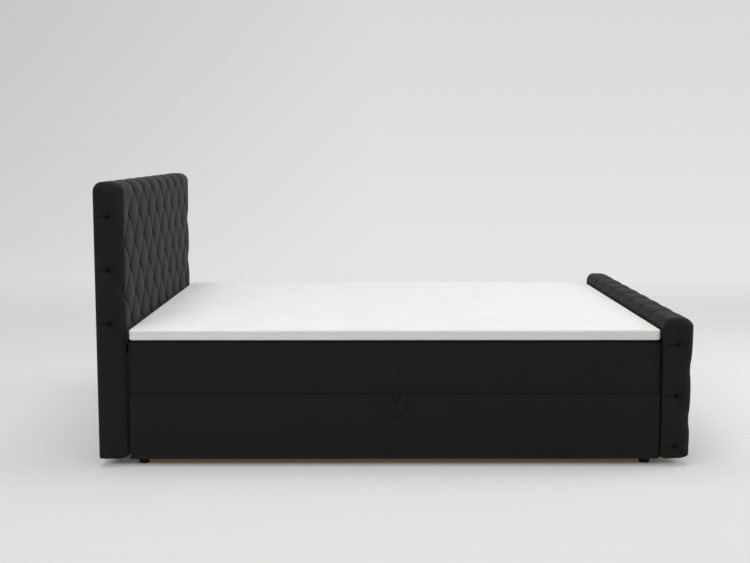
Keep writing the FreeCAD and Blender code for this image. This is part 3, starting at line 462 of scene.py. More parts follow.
class GrainGroup(PatternGroup):
    """Sawn timber: long streaks with a few darker bands and fine pores."""

    title = "timber grain"
    numbers = ("Streak scale", "Band scale")

    @classmethod
    def draw(cls, start: bpy.types.Node) -> tuple[Formula, Formula]:
        """Stretched noise over broad bands."""
        bands = cls.noise(start, "Band scale")
        streaks = cls.noise(start, "Streak scale", 5.0, 0.65)
        shade = (bands * 0.5 + streaks * 0.5 - 0.5) * 2.2 + 0.5
        return shade.within(0.0, 1.0), streaks


class DustGroup(PatternGroup):
    """Handling marks and dust on hard finishes."""

    title = "handling marks"
    numbers = ("Mark scale", "Fine scale")

    @classmethod
    def draw(cls, start: bpy.types.Node) -> tuple[Formula, Formula]:
        """Broad marks over a fine moulded or brushed grain."""
        marks = cls.noise(start, "Mark scale", 4.0, 0.6)
        fine = cls.noise(start, "Fine scale", 1.0)
        return (marks * 0.7 + fine * 0.3).within(0.0, 1.0), fine


# --- Finishes ---


Colour = tuple[float, float, float]


@dataclass(frozen=True)
class Finish:
    """A surface whose colour, roughness and relief follow one pattern group."""

    name: str
    dark: Colour
    light: Colour
    pattern: type[PatternGroup]
    settings: tuple[float, ...]
    relief: float
    bump: float
    rough: tuple[float, float] = (0.8, 0.95)
    stretch: Colour = (1.0, 1.0, 1.0)
    # Strength of the painted shade that darkens the colour in the pleats; 0 for none.
    crease_shade: float = 0.0
    constants: tuple[tuple[str, object], ...] = ()

    def make(self) -> bpy.types.Material:
        """Makes the material on its first use.

        Returns:
            The material, the same one for each piece that has this finish.
        """
        found = bpy.data.materials.get(self.name)
        if found is not None:
            return found
        material = bpy.data.materials.new(self.name)
        tree = cleared(material)
        place = add_node(tree, "ShaderNodeTexCoord").outputs["Object"]
        scaled = add_node(tree, "ShaderNodeMapping", {"Vector": place, "Scale": self.stretch})
        inputs = {"Vector": scaled.outputs[0]} | dict(zip(self.pattern.numbers, self.settings))
        pattern = add_node(tree, "ShaderNodeGroup", inputs, node_tree=self.pattern.tree())
        shade = Formula(tree, pattern.outputs["Shade"])
        colour = self.mixed(tree, shade, (*self.dark, 1.0), (*self.light, 1.0))
        # Painted shade: the colour goes towards black in the pleats, by the share that the tufting
        # stored.
        if self.crease_shade:
            mark = add_node(tree, "ShaderNodeAttribute", attribute_name="crease_shade").outputs["Fac"]
            kept = 1.0 - Formula(tree, mark) * self.crease_shade
            colour = self.mixed(tree, kept, (0.0, 0.0, 0.0, 1.0), colour)
        relief = {"Height": pattern.outputs["Height"], "Distance": self.relief, "Strength": self.bump}
        looks = {
            "Base Color": colour,
            "Roughness": shade * (self.rough[1] - self.rough[0]) + self.rough[0],
            "Normal": add_node(tree, "ShaderNodeBump", relief).outputs[0],
        }
        shader = add_node(tree, "ShaderNodeBsdfPrincipled", looks | dict(self.constants))
        add_node(tree, "ShaderNodeOutputMaterial", {"Surface": shader.outputs[0]})
        return material

    @staticmethod
    def mixed(
        tree: bpy.types.NodeTree, share: Formula, first: object, second: object
    ) -> bpy.types.NodeSocket:
        """A colour between two, by the share of the second."""
        inputs = {0: share, 6: first, 7: second}
        return add_node(tree, "ShaderNodeMix", inputs, data_type="RGBA").outputs[2]


class Slot(Enum):
    """The record's material slots, by their names in capitals, each with its finish."""

    UPHOLSTERY = Finish(
        "charcoal velvet", (0.0078, 0.0075, 0.0079), (0.0145, 0.0139, 0.0144),
        PileGroup, (5.0, 900.0, 0.55), 0.0005, 0.35, (0.75, 0.95), crease_shade=0.85,
        constants=(
            ("Sheen Weight", 0.135), ("Sheen Roughness", 0.25),
            ("Sheen Tint", (0.95, 0.90, 0.94, 1.0)), ("Specular IOR Level", 0.17),
        ),
    )
    PLAIN_CLOTH = Finish(
        "black backing cloth", (0.006, 0.006, 0.0065), (0.013, 0.013, 0.0135),
        KnitGroup, (420.0, 9.0), 0.0005, 0.5, constants=(("Specular IOR Level", 0.25),),
    )
    TOPPER_CLOTH = Finish(
        "white knit", (0.74, 0.725, 0.715), (0.84, 0.825, 0.815), KnitGroup, (380.0, 6.0), 0.0006, 0.4,
        constants=(("Sheen Weight", 0.1), ("Sheen Roughness", 0.5), ("Specular IOR Level", 0.3)),
    )
    FOAM = Finish(
        "cut foam", (0.62, 0.55, 0.36), (0.78, 0.72, 0.52),
        DustGroup, (8.0, 350.0), 0.0012, 0.7, (0.9, 1.0),
    )
    POCKET_SPRINGS = Finish(
        "spring pocket fleece", (0.58, 0.58, 0.56), (0.76, 0.76, 0.74),
        KnitGroup, (260.0, 20.0), 0.0008, 0.6,
    )
    TIMBER = Finish(
        "sawn pine", (0.36, 0.22, 0.11), (0.62, 0.45, 0.27),
        GrainGroup, (60.0, 9.0), 0.0006, 0.4, (0.55, 0.8), stretch=(0.25, 0.25, 0.25),
    )
    WOOD_PANEL = Finish(
        "pressed board", (0.34, 0.24, 0.14), (0.56, 0.43, 0.28),
        DustGroup, (26.0, 420.0), 0.0005, 0.5, (0.6, 0.85),
    )
    BLACK_PLASTIC = Finish(
        "black moulded plastic", (0.004, 0.004, 0.004), (0.009, 0.009, 0.009),
        DustGroup, (50.0, 1200.0), 0.0002, 0.3, (0.45, 0.65), constants=(("Specular IOR Level", 0.2),),
    )
    PLATED_STEEL = Finish(
        "zinc plated steel", (0.46, 0.45, 0.43), (0.66, 0.65, 0.62),
        DustGroup, (60.0, 900.0), 0.0001, 0.2, (0.22, 0.42), constants=(("Metallic", 1.0),),
    )
    STRUT_PAINT = Finish(
        "black strut paint", (0.010, 0.010, 0.011), (0.022, 0.022, 0.023),
        DustGroup, (70.0, 1400.0), 0.0001, 0.2, (0.25, 0.45), constants=(("Coat Weight", 0.3),),
    )
    ROD_CHROME = Finish(
        "chromed rod", (0.70, 0.71, 0.72), (0.82, 0.83, 0.84),
        DustGroup, (90.0, 1600.0), 0.00005, 0.1, (0.06, 0.16), constants=(("Metallic", 1.0),),
    )

    @property
    def material(self) -> bpy.types.Material:
        """The slot's material."""
        return self.value.make()


# --- Mesh work ---


def as_piece(
    name: str,
    points: Sequence[Sequence[float]],
    faces: Sequence[Sequence[int]] = (),
    edges: Sequence[tuple[int, int]] = (),
) -> bpy.types.Object:
    """Makes an object at the origin from points and faces or loose edges, and links it.

    Args:
        name: The piece's name.
        points: One row of x, y and z for each point.
        faces: Point numbers of each face, turned outwards.
        edges: Point numbers of each edge of a piece without faces.

    Returns:
        The new object.
    """
    mesh = bpy.data.meshes.new(name)
    rows = [tuple(row) for row in np.asarray(points, float).tolist()]
    mesh.from_pydata(rows, list(edges), [tuple(face) for face in faces])
    mesh.validate()
    mesh.update()
    piece = bpy.data.objects.new(name, mesh)
    bpy.context.scene.collection.objects.link(piece)
    return piece


def path_piece(name: str, points: Sequence[Sequence[float]], closed: bool) -> bpy.types.Object:
    """Makes an object of edges only, for a rule that follows a path."""
    count = len(points)
    ends = [(n, (n + 1) % count) for n in range(count)]
    return as_piece(name, points, edges=ends if closed else ends[:-1])


def settle(piece: bpy.types.Object) -> None:
    """Replaces a piece's live modifiers by their result, a plain mesh."""
    bpy.context.view_layer.update()
    depsgraph = bpy.context.evaluated_depsgraph_get()
    mesh = bpy.data.meshes.new_from_object(piece.evaluated_get(depsgraph), depsgraph=depsgraph)
    piece.modifiers.clear()
    old = piece.data
    piece.data = mesh
    mesh.name = piece.name
    bpy.data.meshes.remove(old)


def turn_outwards(piece: bpy.types.Object) -> None:
    """Merges doubled points and turns every face outwards."""
    work = bmesh.new()
    work.from_mesh(piece.data)
    bmesh.ops.remove_doubles(work, verts=work.verts, dist=1e-6)
    bmesh.ops.recalc_face_normals(work, faces=work.faces)
    work.to_mesh(piece.data)
    work.free()


def smooth(piece: bpy.types.Object, corner: float = 55.0) -> None:
    """Shades a piece smooth, with hard edges where faces turn by more than the corner's degrees."""
    piece.data.shade_smooth()
    piece.data.set_sharp_from_angle(angle=math.radians(corner))


def ripple(points: Values, pitch: float, seed: int) -> Values:
    """A smooth unevenness in space: the sum of a few waves, drawn by chance.

    Args:
        points: One row of x, y and z for each point.
        pitch: Rough distance between its crests.
        seed: Fixes the directions and phases of its waves.

    Returns:
        One value from about -1 to 1 for each point.
    """
    waves, highest = 6, 1.4
    dice = np.random.default_rng(seed)
    total = np.zeros(len(points))
    for _ in range(waves):
        direction = dice.normal(size=3)
        direction /= np.linalg.norm(direction)
        length = pitch * dice.uniform(0.7, 1.8)
        phase = dice.uniform(0.0, 2.0 * math.pi)
        total += np.sin(points @ direction * (2.0 * math.pi / length) + phase)
    return total / math.sqrt(waves) / highest


def bell(distance: Values, reach: float) -> Values:
    """1 at no distance, about a third at the reach and almost nothing at twice the reach."""
    return np.exp(-((distance / reach) ** 2))


def store(piece: bpy.types.Object, name: str, values: Values) -> None:
    """Stores one number for each point of a piece."""
    layer = piece.data.attributes.new(name, "FLOAT", "POINT")
    layer.data.foreach_set("value", values.astype(np.float32))


def places(piece: bpy.types.Object) -> Values:
    """The points of a piece, one row each."""
    points = np.zeros(len(piece.data.vertices) * 3)
    piece.data.vertices.foreach_get("co", points)
    return points.reshape(-1, 3)


def inward(piece: bpy.types.Object, depth: Values) -> None:
    """Moves each point of a piece inwards along its normal."""
    mesh = piece.data
    normals = np.zeros(len(mesh.vertices) * 3)
    mesh.vertex_normals.foreach_get("vector", normals)
    moved = places(piece) - normals.reshape(-1, 3) * depth[:, None]
    mesh.vertices.foreach_set("co", moved.ravel())
    mesh.update()


def spaced(low: float, high: float, pitch: float) -> list[float]:
    """Even steps strictly between two places, about a pitch apart."""
    count = max(1, round((high - low) / pitch))
    return [low + (high - low) * n / count for n in range(1, count)]


def merged(values: Iterable[float], least: float = 0.0012) -> list[float]:
    """Sorted values without those that nearly repeat another; whole millimetres are kept first."""
    kept: list[float] = []
    for value in sorted(values):
        if kept and value - kept[-1] < least:
            if abs(value * 1000 - round(value * 1000)) < 1e-6:
                kept[-1] = value
            continue
        kept.append(value)
    return kept


def quads(number: Values, flip: bool = False) -> list[list[int]]:
    """Faces between the neighbours in a grid of point numbers, turned round where flip is set."""
    faces = np.stack([number[:-1, :-1], number[1:, :-1], number[1:, 1:], number[:-1, 1:]], axis=-1)
    return (faces[..., ::-1] if flip else faces).reshape(-1, 4).tolist()


def rim(grid: Values) -> Values:
    """The border of a grid, once round it from its low corner."""
    return np.concatenate([grid[:-1, 0], grid[-1, :-1], grid[:0:-1, -1], grid[0, :0:-1]])


def zoned(first: float, inner: list[float], last: float, steps: int) -> tuple[list[float], list[float]]:
    """Grid lines along one axis: a rounded zone, the lines between and a second rounded zone.

    Args:
        first: Centre of the first rounding.
        inner: Lines between the two.
        last: Centre of the second rounding.
        steps: Runs of half a rounding, which is an eighth of a circle.

    Returns:
        Where each line's rounding is centred, and how far out of it the line
        lies, from -1 to 1.
    """
    angles = [math.tan(math.radians(45.0) * n / steps) for n in range(steps, -1, -1)]
    centre = [first] * len(angles) + inner + [last] * len(angles)
    return centre, [-a for a in angles] + [0.0] * len(inner) + angles[::-1]


@dataclass(frozen=True)
class Lines:
    """Grid lines along one axis of a rounded block, with a rounded zone at each end."""

    low: float
    high: float
    low_round: float
    high_round: float
    inner: tuple[float, ...]
    steps: int = 4

    def tables(self) -> tuple[Values, Values, Values]:
        """Centre, offset and radius of each line, the first two as zoned gives them."""
        first = self.low + self.low_round
        last = self.high - self.high_round
        inner = sorted(v for v in self.inner if first + 1e-5 < v < last - 1e-5)
        centre, offset = zoned(first, inner, last, self.steps)
        zone = self.steps + 1
        radius = [self.low_round] * zone + [0.001] * len(inner) + [self.high_round] * zone
        return np.array(centre), np.array(offset), np.array(radius)


@dataclass
class RoundedBlock:
    """The skin of a block on three families of grid lines, its edges and corners rounded."""

    x: Lines
    y: Lines
    z: Lines
    numbers: Values | None = None

    def lattice(self) -> tuple[Values, Values, Values]:
        """Lattice index, place and offset of every point of the skin."""
        tables = [axis.tables() for axis in (self.x, self.y, self.z)]
        counts = [len(table[0]) for table in tables]
        grid = np.indices(counts).reshape(3, -1).T
        index = grid[((grid == 0) | (grid == np.array(counts) - 1)).any(axis=1)]
        centre, offset, radius = (
            np.stack([tables[a][kind][index[:, a]] for a in range(3)], axis=1) for kind in range(3)
        )
        size = np.linalg.norm(offset, axis=1, keepdims=True)
        self.numbers = np.full(counts, -1)
        self.numbers[tuple(index.T)] = np.arange(len(index))
        return index, centre + offset / size * radius, offset

    def skin_faces(self, keep: Callable[[int, int, tuple[int, int]], bool]) -> list[list[int]]:
        """Quads of the six sides, turned outwards.

        Args:
            keep: Says whether the quad on axis, end (0 or 1) and cell is made.

        Returns:
            Point numbers of each quad.
        """
        faces = []
        for axis, end in itertools.product(range(3), (0, 1)):
            side = np.take(self.numbers, -end, axis=axis)
            side = side.T if axis == 1 else side
            cells = np.ndindex(side.shape[0] - 1, side.shape[1] - 1)
            faces += [face for cell, face in zip(cells, quads(side, not end)) if keep(axis, end, cell)]
        return faces


@dataclass(frozen=True)
class Outline:
    """A rounded rectangle in plan on grid lines, which shrinks by an inset."""

    half_x: float
    half_y: float
    corner: float
    pitch: float
    steps: int = 4

    def axis(self, half: float) -> tuple[Values, Values]:
        """Centre and offset of the grid lines along one axis."""
        flat = half - self.corner
        centre, offset = zoned(-flat, spaced(-flat, flat, self.pitch), flat, self.steps)
        return np.array(centre), np.array(offset)

    def sheet(self, inset: float) -> Values:
        """Places of all grid points inside the outline at an inset, as [x line, y line, axis]."""
        sharpest = 0.0004
        centre_x, offset_x = self.axis(self.half_x)
        centre_y, offset_y = self.axis(self.half_y)
        a, b = np.meshgrid(offset_x, offset_y, indexing="ij")
        cx, cy = np.meshgrid(centre_x, centre_y, indexing="ij")
        both = (a != 0) & (b != 0)
        round_a = np.where(both, a * np.sqrt(1.0 - b * b / 2.0), a)
        round_b = np.where(both, b * np.sqrt(1.0 - a * a / 2.0), b)
        radius = max(self.corner - inset, sharpest)
        shift = max(inset + sharpest - self.corner, 0.0)
        cx = np.where(np.abs(cx) >= self.half_x - self.corner - 1e-9, cx - np.sign(cx) * shift, cx)
        cy = np.where(np.abs(cy) >= self.half_y - self.corner - 1e-9, cy - np.sign(cy) * shift, cy)
        return np.stack([cx + round_a * radius, cy + round_b * radius], axis=-1)

    def ring(self, inset: float) -> Values:
        """The outline's points at an inset, turning left from the low corner."""
        return rim(self.sheet(inset))


class Cap(Enum):
    """How an end of a ringed form is closed."""

    GRID = "grid"
    FLAT = "flat"


@dataclass(frozen=True)
class RingedForm:
    """A closed form of rings round one outline: a block, a hollow cover or a band."""

    outline: Outline
    profile: list[tuple[float, float]]
    start: Cap | None = Cap.GRID
    end: Cap | None = Cap.GRID

    def piece(self, name: str) -> bpy.types.Object:
        """Builds the form from its profile of (inset, height) and its end caps.

        Args:
            name: The piece's name.

        Returns:
            The new piece; without caps its profile closes on itself.
        """
        rings = np.stack([self.outline.ring(inset) for inset, _ in self.profile])
        heights = np.repeat([height for _, height in self.profile], rings.shape[1])
        points = [np.column_stack([rings.reshape(-1, 2), heights])]
        count = len(heights)
        numbers = np.arange(count).reshape(rings.shape[:2])
        band = np.column_stack([numbers, numbers[:, :1]])
        faces = quads(band if self.start else np.concatenate([band, band[:1]]))
        for cap, ring, level, flip in (
            (self.start, numbers[0], self.profile[0], False),
            (self.end, numbers[-1], self.profile[-1], True),
        ):
            if cap is Cap.FLAT:
                faces.append(list(ring[::-1] if flip else ring))
            elif cap is Cap.GRID:
                sheet = self.outline.sheet(level[0])
                number = np.zeros(sheet.shape[:2], int)
                number.flat[rim(np.arange(number.size).reshape(number.shape))] = ring
                inside = sheet[1:-1, 1:-1].reshape(-1, 2)
                fresh = np.arange(count, count + len(inside))
                number[1:-1, 1:-1] = fresh.reshape(number[1:-1, 1:-1].shape)
                count += len(inside)
                points.append(np.column_stack([inside, np.full(len(inside), level[1])]))
                faces += quads(number, flip)
        made = as_piece(name, np.concatenate(points), faces)
        turn_outwards(made)
        return made


def arc(inset: float, height: float, radius: float, start: float, end: float, steps: int = 5) -> list:
    """Profile points on part of a circle, by angle in degrees from straight outwards.

    Args:
        inset: Inset of the circle's centre.
        height: Height of the circle's centre.
        radius: Its radius.
        start: First angle; 90 is straight up.
        end: Last angle.
        steps: Number of runs.

    Returns:
        (inset, height) of each point.
    """
    angles = [math.radians(start + (end - start) * n / steps) for n in range(steps + 1)]
    return [(inset - radius * math.cos(a), height + radius * math.sin(a)) for a in angles]


def rounded_side(
    low: float,
    high: float,
    lower: float,
    upper: float,
    between: Iterable[tuple[float, float]] = (),
    inset: float = 0.0,
    steps: tuple[int, int] = (3, 3),
) -> list:
    """Profile of a side from the edge of its top down to the edge of its underside.

    Args:
        low: Height of the underside.
        high: Height of the top.
        lower: Radius of the lower edge.
        upper: Radius of the upper edge.
        between: Profile points of the side between the edges.
        inset: How far the side stands in from the outline.
        steps: Runs of the upper and of the lower edge.

    Returns:
        (inset, height) of each point.
    """
    top = arc(inset + upper, high - upper, upper, 90, 0, steps[0])
    return top + list(between) + arc(inset + lower, low + lower, lower, 0, -90, steps[1])


def on_sides(points: Values, half_x: float, half_y: float) -> Values:
    """Mask of the points on the four upright sides of a form."""
    near = 0.0005
    return (np.abs(points[:, 0]) > half_x - near) | (np.abs(points[:, 1]) > half_y - near)


def hand_over(
    piece: bpy.types.Object,
    body: str,
    slot: Slot,
    nodes: Iterable[str] = (),
    corner: float = 55.0,
) -> None:
    """Shades a piece, dresses it, hangs it on its body and hides the CAD nodes that it stands for.

    Args:
        piece: The finished piece.
        body: CAD body that it moves with.
        slot: The record's slot that it takes its finish from.
        nodes: CAD nodes that it stands for.
        corner: Turn in degrees over which an edge stays hard.
    """
    smooth(piece, corner)
    if not piece.data.materials:
        piece.data.materials.append(slot.material)
    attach(piece, body)
    if nodes:
        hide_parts(*nodes)
    faces = sum(len(p.vertices) - 2 for p in piece.data.polygons)
    LOG.info("%s: %d triangles, rides on %s", piece.name, faces, body)


# --- Sub-assemblies ---


@dataclass
class TuftedBoard:
    """A board with a tufted face, a pad round its frame and plain cloth on its back."""

    name: str
    face_x: float
    height: float
    row_pitch: float
    top_row: float
    lowest_row: float
    back_node: str
    thick: float = 0.112
    half_width: float = 0.810
    floor_gap: float = 0.030
    column_pitch: float = 0.190
    top_round: float = 0.039
    front_turn: float = 0.043
    back_turn: float = 0.035
    bottom_round: float = 0.015
    side_round: float = 0.020
    front_round: float = 0.045
    front_depth: float = 0.068
    soft_from: float = 0.0
    hand_drift: float = 0.004
    pleat_bow: float = 0.016
    belly: float = 0.0
    pad_front: float = 0.044
    pad_side: float = 0.020
    pad_top: float = 0.040
    dome: float = 0.008
    pleat: float = 0.009
    cell_steps: int = 22
    tuck_depth: float = 0.012
    tuck_radius: float = 0.008
    side_tucks: int = 3
    staples_all_round: bool = True
    seed: int = 11
    share_behind: Knots = ((0.0, 0.15, 0.5, 0.85, 1.0), (1.0, 0.95, 0.8, 0.55, 0.4))
    share_aside: Knots = ((-0.12, -0.03, 0.035, 0.065, 0.085, 0.1), (1.0, 1.25, 1.15, 0.45, 0.1, 0.0))
    share_at_back: Knots = ((0.010, 0.038), (1.0, 0.0))
    share_above_floor: Knots = ((0.0, 0.02), (0.3, 1.0))
    plain_from: float = 0.6
    plain_below: float = 0.045
    side_depth: float = 0.004
    fold_start: float = 0.004
    fold_end: float = 0.012
    pucker_depth: float = 0.0005
    pucker_reach: float = 0.02
    pucker_pitch: float = 0.05
    cloth_lift: float = 0.0002
    belly_below: Knots = ((0.0, 0.03, 0.10, 0.25, 0.45, 0.54), (0.3, 1.0, 1.0, 0.5, 0.5, 0.2))
    easing: float = 0.3
    plain_step: float = 0.02
    still_rim: float = 0.030
    blend: float = 0.080
    drift_pitch: float = 0.20
    dimple_depth: float = 0.003
    dimple_radius: float = 0.022
    fold_depth: float = 0.0065
    fold_width: float = 0.0038
    under_fold_depth: float = 0.0015
    under_fold_drop: float = 0.009
    under_fold_width: float = 0.004
    depth_step: float = 0.0055
    cloth_step: float = 0.020
    cloth_gap: float = 0.0005
    cloth_thick: float = 0.0016
    staple_inset: float = 0.008

    @property
    def back_x(self) -> float:
        """The plain side's place; both tufted faces look along +X."""
        return self.face_x - self.thick

    @property
    def inner_y(self) -> float:
        """Half the width of the hollow that the frame's timbers fill."""
        return self.half_width - self.pad_side

    @property
    def inner_z(self) -> float:
        """Top of the hollow."""
        return self.height - self.pad_top

    @property
    def wall_x(self) -> float:
        """Front of the hollow."""
        return self.face_x - self.pad_front

    def columns(self) -> list[float]:
        """Grid lines across the board, closer together near the tucks' columns."""
        half = self.column_pitch / 2
        count = math.ceil(self.half_width / half)
        cells = itertools.product(range(-count, count), range(self.cell_steps))
        lines = [cell * half + self.eased(n) * half for cell, n in cells]
        return lines + [self.inner_y, self.pad_side - self.half_width]

    def rows(self) -> list[float]:
        """Grid lines up the board, in step with the tucks' rows down to the lowest one."""
        half = self.row_pitch / 2
        lowest = max(self.lowest_row - half, self.floor_gap)
        count = math.ceil((self.top_row - lowest) / half)
        tops = [self.top_row - cell * half for cell in range(-1, count)]
        lines = [top - self.eased(n) * half for top in tops for n in range(self.cell_steps)]
        lines = [z for z in lines if z > lowest - 1e-6]
        return lines + spaced(self.floor_gap, min(lines), self.plain_step) + [self.inner_z]

    def eased(self, step: int) -> float:
        """Share of a cell at a step, with shorter steps at both ends."""
        share = step / self.cell_steps
        return share - self.easing * math.sin(2.0 * math.pi * share) / (2.0 * math.pi)

    def block(self) -> RoundedBlock:
        """The board's smooth skin on its grid lines."""
        back, front = self.back_x + self.back_turn, self.face_x - self.front_turn
        middle = self.back_x + self.thick / 2
        depth = [self.wall_x] + spaced(back, front, self.depth_step)
        depth = [d for d in depth if abs(d - middle) > 0.001] + [middle]
        half, edge, rows = self.half_width, self.side_round, tuple(merged(self.rows()))
        return RoundedBlock(
            Lines(self.back_x, self.face_x, self.back_turn, self.front_turn, tuple(depth), 5),
            Lines(-half, half, edge, edge, tuple(self.columns())),
            Lines(self.floor_gap, self.height, self.bottom_round, self.top_round, rows, 5),
        )

    def softened(self, points: Values, offset: Values) -> Values:
        """The skin with its front edges rounded, its lower back squared and its face worked by hand.

        Args:
            points: The skin's points.
            offset: The same points' offsets in their rounded zones.

        Returns:
            The points at their new places.
        """
        moved = self.with_round_front(points)
        size = np.linalg.norm(offset, axis=1)
        lower_back = (offset[:, 0] < 0) & (offset[:, 2] < 0)
        share = np.where(lower_back, 0.5 * (1.0 - 1.0 / size), 0.0)
        moved[:, 0] += offset[:, 0] * share * self.back_turn
        moved[:, 2] += offset[:, 2] * share * self.bottom_round
        self.work_face(moved, points)
        return moved

    def with_round_front(self, points: Values) -> Values:
        """A copy of the points in which an ellipse rounds the front's upright edges.

        Each point of the corner keeps its share of the way from the ellipse's
        centre to the old outline, and that outline becomes the ellipse.
        """
        centre = (self.face_x - self.front_depth, self.half_width - self.front_round)
        u = points[:, 0] - centre[0]
        v = np.abs(points[:, 1]) - centre[1]
        corner = (u > 1e-6) & (v > 1e-6)
        u, v = np.where(corner, u, 1.0), np.where(corner, v, 1.0)
        reach = 1.0 / np.maximum(u / self.front_depth, v / self.front_round)
        old_u = self.front_depth - self.front_turn
        old_v = self.front_round - self.side_round
        rounded = (u * reach > old_u) & (v * reach > old_v)
        square = (u / self.front_turn) ** 2 + (v / self.side_round) ** 2
        linear = u * old_u / self.front_turn**2 + v * old_v / self.side_round**2
        rest = (old_u / self.front_turn) ** 2 + (old_v / self.side_round) ** 2 - 1.0
        on_arc = (linear + np.sqrt(np.maximum(linear**2 - square * rest, 0.0))) / square
        reach = np.where(rounded, on_arc, reach)
        scale = 1.0 / np.hypot(u / self.front_depth, v / self.front_round) / reach
        scale = 1.0 + (scale - 1.0) * np.clip((points[:, 2] - self.soft_from) / self.blend, 0.0, 1.0)
        moved = points.copy()
        moved[:, 0] = np.where(corner, centre[0] + u * scale, points[:, 0])
        moved[:, 1] = np.where(corner, (centre[1] + v * scale) * np.sign(points[:, 1]), points[:, 1])
        return moved

    def work_face(self, moved: Values, points: Values) -> None:
        """Moves the face as hand work does: tufts drift, pleats bow upwards and the padding bulges.

        Args:
            moved: The points to move.
            points: The same points on the plain skin.
        """
        drop = self.height - points[:, 2]
        sides = [self.half_width - np.abs(points[:, 1]), drop, points[:, 2] - self.floor_gap]
        room = np.minimum.reduce(sides) - self.still_rim
        free = np.clip(room / self.blend, 0.0, 1.0) * (points[:, 0] > self.face_x - 1e-4)
        drift = self.hand_drift * free
        moved[:, 1] += drift * ripple(points, self.drift_pitch, self.seed + 1)
        moved[:, 2] += drift * ripple(points, self.drift_pitch, self.seed + 2)
        across = math.pi * points[:, 1] / self.column_pitch
        rows = math.pi * (points[:, 2] - self.top_row) / self.row_pitch
        from_tuft = np.sqrt(1.0 - (np.cos(across + rows) * np.cos(across - rows)) ** 2)
        moved[:, 2] += self.pleat_bow * free * from_tuft
        swell = np.interp(drop, *self.belly_below)
        ahead = np.clip((points[:, 0] - self.back_x) / self.thick * 2.0 - 1.0, 0.0, 1.0)
        moved[:, 0] += self.belly * swell * ahead

    def unrolled(self, points: Values, offset: Values) -> tuple[Values, Values]:
        """Places on the cloth, measured along it from the middle of the face and from the floor.

        Args:
            points: The skin's points.
            offset: The same points' offsets in their rounded zones.

        Returns:
            How far across and how far along each point is.
        """
        ahead = np.maximum(offset[:, 0], 0.0) + 1e-12
        behind = np.maximum(self.face_x - self.front_turn - points[:, 0], 0.0)

        def past(start: float, radius: float, turned: Values) -> Values:
            """Way along the cloth of points past the start of an edge's rounding."""
            length = 0.25 * math.pi * (radius + self.front_turn)
            return start + length * np.clip(np.arctan2(turned, ahead) / (math.pi / 2), 0.0, 1.0) + behind

        side_start = self.half_width - self.side_round
        on_side = np.abs(points[:, 1]) > side_start + 1e-6
        around = past(side_start, self.side_round, np.abs(offset[:, 1]))
        across = np.where(on_side, around, np.abs(points[:, 1])) * np.sign(points[:, 1])
        top_start = self.height - self.top_round
        on_top = (offset[:, 2] > 0) & (points[:, 2] > top_start - 1e-6)
        over = past(top_start, self.top_round, np.maximum(offset[:, 2], 0.0))
        return across, np.where(on_top, over, points[:, 2])

    def amount(self, points: Values, across: Values) -> Values:
        """How deep the tufting goes at each point: full on the face, fading round the edges."""
        behind = np.clip((self.face_x - points[:, 0]) / self.thick, 0.0, 1.0)
        top_share = np.interp(behind, *self.share_behind)
        side = np.abs(across) - (self.half_width - self.side_round)
        side_share = np.interp(side, *self.share_aside)
        drop = self.height - points[:, 2]
        back_share = np.where(behind > 0.9, np.interp(drop, *self.share_at_back), 1.0)
        low = np.interp(points[:, 2] - self.floor_gap, *self.share_above_floor)
        lower_back = (behind > self.plain_from) & (drop > self.plain_below)
        return np.where(lower_back, 0.0, top_share * side_share * back_share * low)

    def press(self, points: Values) -> Values:
        """Extra depth of the side tucks and of the folds that run back from them."""
        depth = np.zeros(len(points))
        side = np.abs(points[:, 1]) > self.half_width - self.side_depth
        aside = points[:, 0] - (self.back_x + self.thick / 2)
        reach = np.clip(-aside / self.fold_start, 0.0, 1.0)
        reach *= np.clip((aside + self.thick / 2) / self.fold_end, 0.0, 1.0)
        for row in range(self.side_tucks):
            rise = points[:, 2] - (self.top_row - self.row_pitch * (row + 0.5))
            distance = np.hypot(aside, rise)
            dent = self.tuck_depth * bell(distance, self.tuck_radius)
            dent += self.dimple_depth * bell(distance, self.dimple_radius)
            fold = self.fold_depth * bell(rise, self.fold_width)
            fold += self.under_fold_depth * bell(rise + self.under_fold_drop, self.under_fold_width)
            depth += np.where(side, dent + fold * reach, 0.0)
        return depth

    def pad(self) -> bpy.types.Object:
        """The padded cover: face, top and sides in one piece, hollow from the back for the frame."""
        block = self.block()
        index, points, offset = block.lattice()
        lines = [axis.tables()[0] for axis in (block.x, block.y, block.z)]
        across, along = self.unrolled(points, offset)

        def middle(axis: int, n: int) -> float:
            """Place halfway between a grid line and the next."""
            return (lines[axis][n] + lines[axis][n + 1]) / 2

        def keep(axis: int, end: int, cell: tuple[int, int]) -> bool:
            """Leaves out the back and the underside where the frame goes in."""
            if axis == 1 or end == 1:
                return True
            column, other = cell if axis == 0 else cell[::-1]
            edge = lines[1][column]
            at_edge = edge == lines[1][column + 1] and abs(edge) > self.inner_y - 1e-6
            within = abs(middle(1, column)) < self.inner_y and not at_edge
            open_here = middle(2, other) < self.inner_z if axis == 0 else middle(0, other) < self.wall_x
            return not (within and open_here)

        faces = self.split_along_pleats(block.skin_faces(keep), across, along, index)
        values = {
            "across": across,
            "along": along,
            "amount": self.amount(points, across),
            "press": self.press(points),
        }
        added, walls = self.hollow(block.numbers, len(points), *lines)
        points = np.concatenate([self.softened(points, offset), np.array(added)])
        piece = as_piece(self.name + "_cover", points, faces + walls)
        for name, value in values.items():
            store(piece, name, np.concatenate([value, np.zeros(len(added))]))
        return piece

